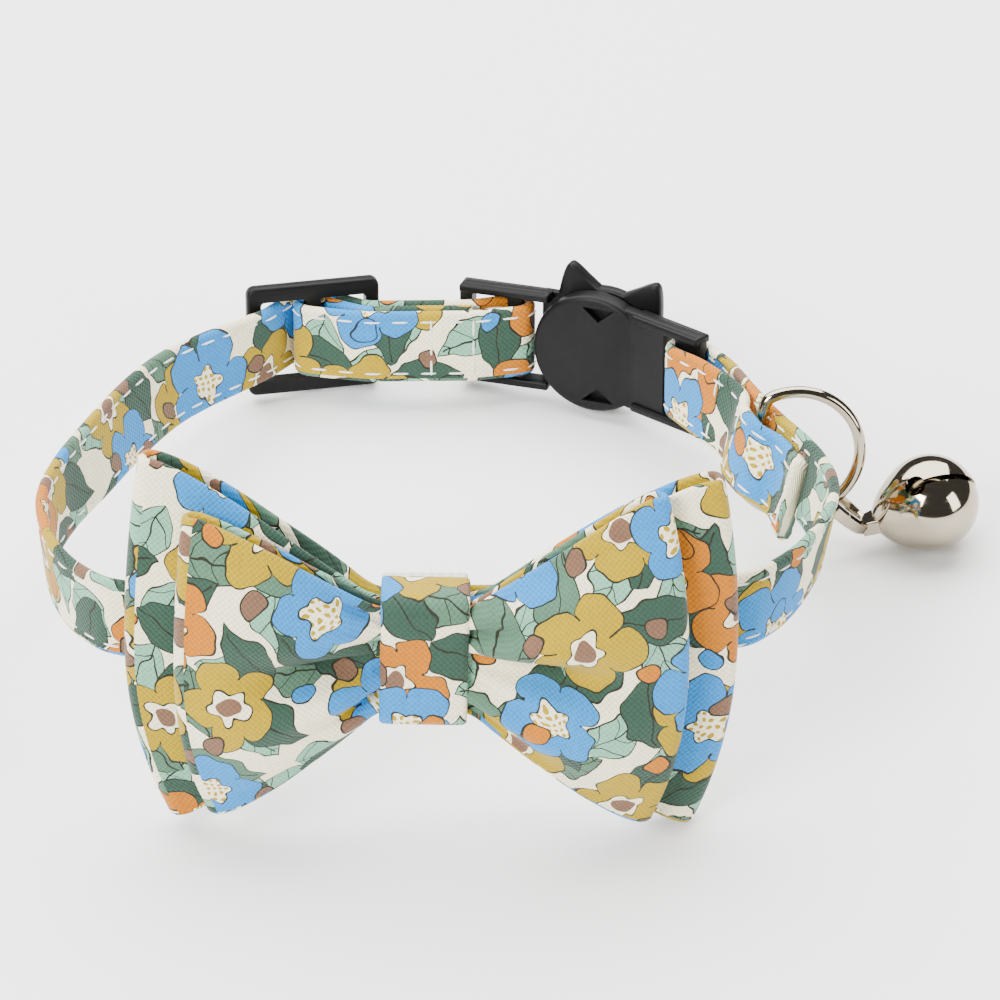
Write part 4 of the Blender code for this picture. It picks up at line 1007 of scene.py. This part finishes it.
BAR_HALF = 0.9
FRAME_HALF = 0.9
SLOT_HALF = STRAP_WIDTH / 2 + 0.6
SLIDER_PLACE = (-16.9, 78.7)
SLIDER_TURN = 13.0
SLIDER_LENGTH = 17.4
SLIDER_HEIGHT = 15.2
SLIDER_SIDE = 1.8
SLIDER_CORNER = 1.1
SLIDER_EASE = 0.45
SLOT_CORNER = 0.5
SLOT_CUT = 3.0
SHARP_ANGLE = math.radians(32.0)
ACETAL_BLACK = "#0A0A0B"


def rounded_box(left, right, low, high, corner, steps=5):
    """Outline of a box with rounded corners."""
    points = []
    for x, z, first in ((right, high, 0), (left, high, 90), (left, low, 180), (right, low, 270)):
        middle_x = x - corner if first in (0, 270) else x + corner
        middle_z = z - corner if first in (0, 90) else z + corner
        for step in range(steps + 1):
            angle = math.radians(first + 90.0 * step / steps)
            points.append((middle_x + corner * math.cos(angle), middle_z + corner * math.sin(angle)))
    return points


def moulding(outline, low, high, place=(0.0, 0.0), turn=0.0, ease=0.0, rounds=3):
    """A plate with an outline in X and Z and its faces at low and high in Y, its rims eased."""
    count = len(outline)
    verts = [(u, low, z) for u, z in outline] + [(u, high, z) for u, z in outline]
    faces = [tuple(range(count)), tuple(reversed(range(count, 2 * count)))]
    faces += [(i, i + count, (i + 1) % count + count, (i + 1) % count) for i in range(count)]
    mesh = bpy.data.meshes.new("moulding")
    mesh.from_pydata(verts, [], faces)
    shape = bmesh.new()
    shape.from_mesh(mesh)
    bmesh.ops.recalc_face_normals(shape, faces=shape.faces[:])
    if ease:
        rims = [edge for edge in shape.edges if abs(edge.verts[0].co.y - edge.verts[1].co.y) < 1e-6]
        bmesh.ops.bevel(shape, geom=rims, offset=ease, segments=rounds, profile=0.5, affect="EDGES",
                        clamp_overlap=True)
    shape.to_mesh(mesh)
    shape.free()
    made = set_down("moulding", mesh)
    made.location = (*place, 0.0)
    made.rotation_euler = (0.0, 0.0, math.radians(turn))
    return made


def moulded(name, base, steps):
    """Unites mouldings with a base or cuts them from it, and keeps one mesh in its place."""
    for operation, tool in steps:
        run = base.modifiers.new(operation, "BOOLEAN")
        run.operation = operation
        run.solver = "EXACT"
        run.object = tool
    bpy.context.view_layer.update()
    mesh = bpy.data.meshes.new_from_object(base.evaluated_get(bpy.context.evaluated_depsgraph_get()))
    mesh.transform(COLLAR @ base.matrix_world)
    mesh.name = name
    mesh.materials.clear()
    mesh.shade_smooth()
    mesh.set_sharp_from_angle(angle=SHARP_ANGLE)
    for used in [base] + [tool for _, tool in steps]:
        bpy.data.objects.remove(used, do_unlink=True)
    return set_down(name, mesh)


# Acetal, moulded in a finely spark-eroded tool: near black, satin, with a very fine even grain and
# a few faint handling marks.
acetal, tree, shader = new_material("moulded_black_acetal")
place = add(tree, "ShaderNodeTexCoord")
grain = add(tree, "ShaderNodeTexNoise", {"Vector": place.outputs["Object"], "Scale": 5200.0, "Detail": 3.0})
brushed = add(tree, "ShaderNodeMapping", {"Vector": place.outputs["Object"], "Scale": (500.0, 500.0, 3800.0)})
brushed = add(tree, "ShaderNodeTexNoise", {"Vector": brushed, "Scale": 1.0, "Detail": 3.0})
cloudy = add(tree, "ShaderNodeTexNoise", {"Vector": place.outputs["Object"], "Scale": 240.0, "Detail": 2.0})
tone = add(tree, "ShaderNodeMapRange",
           {"Value": brushed, "From Min": 0.3, "From Max": 0.7, "To Min": 0.85, "To Max": 1.2})
colour = add(tree, "ShaderNodeVectorMath", {0: linear(ACETAL_BLACK)[:3], "Scale": tone}, operation="SCALE")
tree.links.new(colour.outputs[0], shader.inputs["Base Color"])
satin = add(tree, "ShaderNodeMapRange", {"Value": cloudy, "To Min": 0.36, "To Max": 0.52})
tree.links.new(satin.outputs[0], shader.inputs["Roughness"])
relief = add(tree, "ShaderNodeMath", {0: brushed, 1: 0.6, 2: grain}, operation="MULTIPLY_ADD")
bump = add(tree, "ShaderNodeBump", {"Height": relief, "Distance": 0.00002, "Strength": 0.5})
tree.links.new(bump.outputs[0], shader.inputs["Normal"])
shader.inputs["Specular IOR Level"].default_value = 0.16

half = SLIDER_LENGTH / 2
tall = SLIDER_HEIGHT / 2
body = moulding(rounded_box(-half, half, -tall, tall, SLIDER_CORNER), -FRAME_HALF, FRAME_HALF,
                SLIDER_PLACE, SLIDER_TURN, SLIDER_EASE)
steps = []
for left, right in ((-half + SLIDER_SIDE, -BAR_HALF), (BAR_HALF, half - SLIDER_SIDE)):
    slot = rounded_box(left, right, -SLOT_HALF, SLOT_HALF, SLOT_CORNER)
    steps.append(("DIFFERENCE", moulding(slot, -SLOT_CUT, SLOT_CUT, SLIDER_PLACE, SLIDER_TURN)))
finished(moulded("slider_ladder", body, steps), acetal, "slider")


def bearing(degrees):
    """Direction in plan, by its angle from X towards the back."""
    return Vector((math.cos(math.radians(degrees)), math.sin(math.radians(degrees))))


# Both halves' frames, and the rails that thicken their upper and lower sides.
BUCKLE_HEIGHT = 13.8
BUCKLE_CORNER = 0.9
BUCKLE_EASE = 0.4
RAIL_HALF = 1.4
RAIL_ROOM = 0.1
RAIL_INSET = 0.12
RAIL_CORNER = 0.3
RAIL_EASE = 0.28
WINDOW_CORNER = 0.4

# The head, by its distance and bearing from the left half's bar. The disc ends at HEAD_SPLIT and
# the eared plate starts at PLATE_LOW, so the two have a gap.
LEFT_BAR = Vector((9.5, 78.7))
HEAD_REACH = 11.2
HEAD_PLACE = LEFT_BAR + bearing(-20.0) * HEAD_REACH
HEAD_TURN = -22.0
HEAD_RADIUS = 8.1
HEAD_HALF = 2.4
HEAD_SPLIT = 0.4
PLATE_LOW = 0.7
PLATE_EASE = 0.45
HEAD_EASE = 0.65

# The right ear's corners, from the rim round its tip to the crown, and how far both ears are rolled
# and moved on the head.
EAR = ((7.28, 3.55), (6.9, 8.3), (6.2, 10.6), (4.6, 9.9), (1.96, 7.86))
EAR_ROLL = -6.0
EAR_SHIFT = 0.6

# The plate's rim below the ears and its crown between them, in degrees round the head.
HEAD_RIM = (154.0, 386.0)
HEAD_CROWN = (78.0, 102.0)

# The left half, and the link from its frame to the eared plate, which clears the strap's turn
# round the bar.
LEFT_TURN = -18.0
LEFT_PITCH = 6.6
JOINT_END = 4.83
LEFT_WINDOW_CUT = 1.3
LEFT_WINDOW_END = 6.83
STRAP_TURN = 2.9
LINK_ROOM = 0.3
LINK_LENGTH = 3.4
LINK_INSET = 0.36
LINK_CORNER = 0.5
LINK_LOW = 0.72
LINK_HIGH = 1.8
LINK_EASE = 0.2


def disc_outline(radius, first=0.0, last=360.0, steps=96):
    """Outline of a disc or, with less than a full turn, of a part of its rim."""
    count = steps if last - first == 360.0 else steps + 1
    return [(radius * math.cos(math.radians(first + (last - first) * i / steps)),
             radius * math.sin(math.radians(first + (last - first) * i / steps))) for i in range(count)]


def soft_corner(points, steps):
    """Rounds a row of corners with curves that start and end halfway along each side."""
    made = []
    for a, b, c in zip(points, points[1:], points[2:]):
        start, end = (Vector(a) + Vector(b)) / 2, (Vector(b) + Vector(c)) / 2
        for step in range(steps):
            t = step / steps
            made.append(tuple(start * (1 - t) ** 2 + Vector(b) * 2 * t * (1 - t) + end * t * t))
    return made


def eared_outline():
    """Round plate with two blunt pointed ears."""
    right = soft_corner(EAR, 6)
    around = disc_outline(HEAD_RADIUS, *HEAD_RIM, 70)
    crown = disc_outline(HEAD_RADIUS, *HEAD_CROWN, 8)
    outline = around + right + crown + [(-u, z) for u, z in reversed(right)]
    roll = Matrix.Rotation(math.radians(EAR_ROLL), 2)
    return [tuple(roll @ Vector(point) + Vector((EAR_SHIFT, 0.0))) for point in outline]


def frame_rails(left, right, place, turn):
    """The upper and lower rail of a frame, to be united with it."""
    rails = []
    for side in (1, -1):
        low, high = sorted((side * (SLOT_HALF + RAIL_ROOM), side * (BUCKLE_HEIGHT / 2 - RAIL_INSET)))
        rail = rounded_box(left, right - RAIL_INSET, low, high, RAIL_CORNER)
        rails.append(("UNION", moulding(rail, -RAIL_HALF, RAIL_HALF, place, turn, RAIL_EASE)))
    return rails


tall = BUCKLE_HEIGHT / 2
left_end = -LEFT_PITCH - BAR_HALF
body = moulding(rounded_box(left_end, JOINT_END, -tall, tall, BUCKLE_CORNER), -FRAME_HALF, FRAME_HALF,
                LEFT_BAR, LEFT_TURN, BUCKLE_EASE)
steps = frame_rails(left_end + RAIL_INSET, JOINT_END, LEFT_BAR, LEFT_TURN)
for left, right in ((left_end + 2 * BAR_HALF, -BAR_HALF), (BAR_HALF, LEFT_WINDOW_END)):
    window = rounded_box(left, right, -SLOT_HALF, SLOT_HALF, WINDOW_CORNER)
    steps.append(("DIFFERENCE", moulding(window, -LEFT_WINDOW_CUT, LEFT_WINDOW_CUT, LEFT_BAR, LEFT_TURN)))
plate = moulding(eared_outline(), PLATE_LOW, HEAD_HALF, HEAD_PLACE, HEAD_TURN, PLATE_EASE)
link_start = STRAP_TURN + LINK_ROOM - HEAD_REACH
link = rounded_box(link_start, link_start + LINK_LENGTH, -tall + LINK_INSET, tall - LINK_INSET, LINK_CORNER)
link = moulding(link, LINK_LOW, LINK_HIGH, HEAD_PLACE, HEAD_TURN, LINK_EASE)
steps += [("UNION", plate), ("UNION", link)]
finished(moulded("buckle_ear_half", body, steps), acetal, "buckle_left")

# The right half: its frame's root in the head, along and across the head, and its length from
# there to the middle of its bar. The notches' corners are along and up the disc.
RIGHT_TURN = -43.0
RIGHT_ROOT = (3.6, 0.7)
RIGHT_REACH = 11.8
RIGHT_BAR_HALF = 2.0
RIGHT_WINDOW = 2.0
RIGHT_WINDOW_CUT = 1.6
RIGHT_RAIL_START = -9.2
NOTCH = ((-1.3, 6.6), (0.9, 4.7), (3.1, 6.6))
NOTCH_CUT = -5.0
NOTCH_FLOOR = -1.2

along_head = bearing(HEAD_TURN)
right_root = HEAD_PLACE + along_head * RIGHT_ROOT[0] + Vector((along_head.y, -along_head.x)) * RIGHT_ROOT[1]
right_bar = right_root + bearing(RIGHT_TURN) * RIGHT_REACH

body = moulding(disc_outline(HEAD_RADIUS), -HEAD_HALF, HEAD_SPLIT, HEAD_PLACE, HEAD_TURN, HEAD_EASE, 4)
right_frame = rounded_box(-RIGHT_REACH, RIGHT_BAR_HALF, -tall, tall, BUCKLE_CORNER)
steps = [("UNION", moulding(right_frame, -FRAME_HALF, FRAME_HALF, right_bar, RIGHT_TURN, BUCKLE_EASE))]
steps += frame_rails(RIGHT_RAIL_START, RIGHT_BAR_HALF, right_bar, RIGHT_TURN)
window = rounded_box(-RIGHT_BAR_HALF - RIGHT_WINDOW, -RIGHT_BAR_HALF, -SLOT_HALF, SLOT_HALF, WINDOW_CORNER)
steps.append(("DIFFERENCE", moulding(window, -RIGHT_WINDOW_CUT, RIGHT_WINDOW_CUT, right_bar, RIGHT_TURN)))
for side in (1, -1):
    notch = [(along, side * up) for along, up in NOTCH]
    steps.append(("DIFFERENCE", moulding(notch, NOTCH_CUT, NOTCH_FLOOR, HEAD_PLACE, HEAD_TURN)))
finished(moulded("buckle_disc_half", body, steps), acetal, "buckle_right")


# ---------------------------------------------------------------------------
# D-ring and bell
# The ring is steel wire bent to a D, its straight bar in the strap's fold. The bell is pressed from
# thin brass sheet, open at a slit between two round holes, with a strip of the same sheet bent to
# an eye on its neck. Both are plated with bright nickel.
# ---------------------------------------------------------------------------

RING_RADIUS = 8.1
RING_BAR = 12.2
RING_WIRE = 1.5
RING_MIDDLE = Vector((44.106, 46.073, -0.803))
RING_UP = Vector((0.2250, 0.0886, 0.9703)).normalized()
RING_OUT = Vector((0.9719, 0.0505, -0.2300)).normalized()
RING_STEPS = 96
BAR_STEPS = 16
CORNER_PASSES = 3
WIRE_SIDES = 20
NICKEL_LIGHT = "#AFA593"
NICKEL_DARK = "#9E9380"

# Bright nickel plate on polished metal: warm grey mirror, with faint haze and handling marks.
nickel, tree, shader = new_material("bright_nickel_plate")
place = add(tree, "ShaderNodeTexCoord")
haze = add(tree, "ShaderNodeTexNoise", {"Vector": place.outputs["Object"], "Scale": 260.0, "Detail": 4.0})
tint = add(tree, "ShaderNodeMix", {0: haze, 6: linear(NICKEL_LIGHT), 7: linear(NICKEL_DARK)},
           data_type="RGBA")
tree.links.new(tint.outputs[2], shader.inputs["Base Color"])
marks = add(tree, "ShaderNodeMapping", {"Vector": place.outputs["Object"], "Scale": (300.0, 1400.0, 2600.0)})
marks = add(tree, "ShaderNodeTexNoise", {"Vector": marks, "Scale": 1.0, "Detail": 5.0})
dull = add(tree, "ShaderNodeMapRange",
           {"Value": marks, "From Min": 0.5, "From Max": 0.8, "To Min": 0.07, "To Max": 0.2})
tree.links.new(dull.outputs[0], shader.inputs["Roughness"])
shader.inputs["Metallic"].default_value = 1.0


def bent_wire(name, path, normal, width):
    """A closed wire of round section along a path in one plane."""
    rings = []
    for i, point in enumerate(path):
        along = (path[(i + 1) % len(path)] - path[i - 1]).normalized()
        across = along.cross(normal).normalized()
        ring = []
        for k in range(WIRE_SIDES):
            angle = 2 * math.pi * k / WIRE_SIDES
            ring.append(COLLAR @ (point + (across * math.cos(angle) + normal * math.sin(angle)) * width / 2))
        rings.append(ring)
    return set_down(name, skinned(name, rings))


chord = math.sqrt(RING_RADIUS ** 2 - (RING_BAR / 2) ** 2)
corner = math.pi - math.acos(chord / RING_RADIUS)
ring_path = []
for step in range(RING_STEPS + 1):
    angle = -corner + 2 * corner * step / RING_STEPS
    ring_path.append(RING_MIDDLE + RING_OUT * RING_RADIUS * math.cos(angle)
                     + RING_UP * RING_RADIUS * math.sin(angle))
ring_path += [ring_path[-1].lerp(ring_path[0], step / BAR_STEPS) for step in range(1, BAR_STEPS)]
for _ in range(CORNER_PASSES):
    ring_path = [(ring_path[i - 1] + point * 2 + ring_path[(i + 1) % len(ring_path)]) / 4
                 for i, point in enumerate(ring_path)]
ring = bent_wire("d_ring_wire", ring_path, RING_OUT.cross(RING_UP).normalized(), RING_WIRE)
finished(ring, nickel, "d_ring")

BELL_RADIUS = 6.1
BELL_WALL = 0.55
PEAR_DRAW = 1.5
PEAR_START = 0.45
SLIT_WIDTH = 0.75
HOLE_RADIUS = 1.3
HOLE_ALONG = 1.1
HOLE_FROM = 3.0
HOLE_TO = 9.0
SLIT_END = 8.0
SLIT_CORNER = 0.3
SLIT_TURN = math.radians(54.0)
EYE_LONG = 7.0
EYE_WIDE = 3.8
EYE_STRIP = 1.0
EYE_BREADTH = 1.8
EYE_EASE = 0.32
EYE_STEPS = 64
NECK_EASE = 0.2
BELL_MIDDLE = Vector((61.23, 47.06, -8.22))
BELL_AXIS = Vector((-0.93905, -0.08216, -0.33381))
EYE_MIDDLE = Vector((49.99, 46.03, -8.58))
EYE_AXIS = Vector((-0.73907, -0.07768, 0.66913))

# One side of the neck: how far it is along the bell's axis past its radius, and how far to the side.
NECK_SIDE = ((-0.5, 3.0), (0.6, 2.0), (3.1, 1.25))


def axes_along(along):
    """Turn that lays +X along a direction, with Y level."""
    along = along.normalized()
    across = Vector((0.0, 0.0, 1.0)).cross(along).normalized()
    return Matrix((along, across, along.cross(across))).transposed().to_4x4()


def pressed_ball(radius):
    """A face of the bell's skin: a ball drawn out a little towards the neck, on +X."""
    shape = bmesh.new()
    bmesh.ops.create_uvsphere(shape, u_segments=96, v_segments=56, radius=radius)
    for vert in shape.verts:
        vert.co.x += PEAR_DRAW * max(0.0, (vert.co.x / radius - PEAR_START) / (1.0 - PEAR_START)) ** 2
    return set_down("pressed_ball", smooth_mesh("pressed_ball", shape))


def strip_eye():
    """The flat strip bent to a long loop, in the eye's own axes."""
    half, wide = EYE_STRIP / 2, EYE_BREADTH / 2
    side = [(half - EYE_EASE, -wide), (half, EYE_EASE - wide),
            (half, wide - EYE_EASE), (half - EYE_EASE, wide)]
    section = side + [(-a, -b) for a, b in side]
    path = []
    for step in range(EYE_STEPS):
        angle = 2 * math.pi * step / EYE_STEPS
        path.append((math.cos(angle) * (EYE_LONG + EYE_STRIP) / 2,
                     math.sin(angle) * (EYE_WIDE + EYE_STRIP) / 2))
    rings = []
    for i, (x, y) in enumerate(path):
        ahead = Vector(path[(i + 1) % EYE_STEPS]) - Vector(path[i - 1])
        out = Vector((ahead.y, -ahead.x)).normalized()
        rings.append([(x + out.x * a, y + out.y * a, b) for a, b in section])
    return set_down("strip_eye", skinned("strip_eye", rings))


def laid(made, matrix):
    """Lays a part of the bell on its axes."""
    made.matrix_world = matrix
    return made


bell_turn = Matrix.Translation(BELL_MIDDLE) @ axes_along(BELL_AXIS)
bell_spin = bell_turn @ Matrix.Rotation(SLIT_TURN, 4, "X")
on_end = Matrix.Rotation(math.radians(90.0), 4, "X")
skin = laid(pressed_ball(BELL_RADIUS), bell_spin)
hollow = laid(pressed_ball(BELL_RADIUS - BELL_WALL), bell_spin)
slit_outline = rounded_box(-SLIT_END, HOLE_ALONG, -SLIT_END, SLIT_END, SLIT_CORNER)
slit = laid(moulding(slit_outline, -SLIT_WIDTH / 2, SLIT_WIDTH / 2), bell_spin @ on_end)
hole_outline = disc_outline(HOLE_RADIUS, steps=40)
holes = [laid(moulding(hole_outline, low, high), bell_spin @ Matrix.Translation((HOLE_ALONG, 0.0, 0.0)))
         for low, high in ((HOLE_FROM, HOLE_TO), (-HOLE_TO, -HOLE_FROM))]
eye = laid(strip_eye(), Matrix.Translation(EYE_MIDDLE) @ axes_along(EYE_AXIS))
neck_outline = [(BELL_RADIUS + along, -side) for along, side in NECK_SIDE]
neck_outline += [(BELL_RADIUS + along, side) for along, side in reversed(NECK_SIDE)]
neck = laid(moulding(neck_outline, -EYE_BREADTH / 2, EYE_BREADTH / 2, ease=NECK_EASE), bell_turn @ on_end)

steps = [("UNION", eye), ("UNION", neck)]
steps += [("DIFFERENCE", cutter) for cutter in (hollow, slit, *holes)]
finished(moulded("jingle_bell", skin, steps), nickel, "bell")
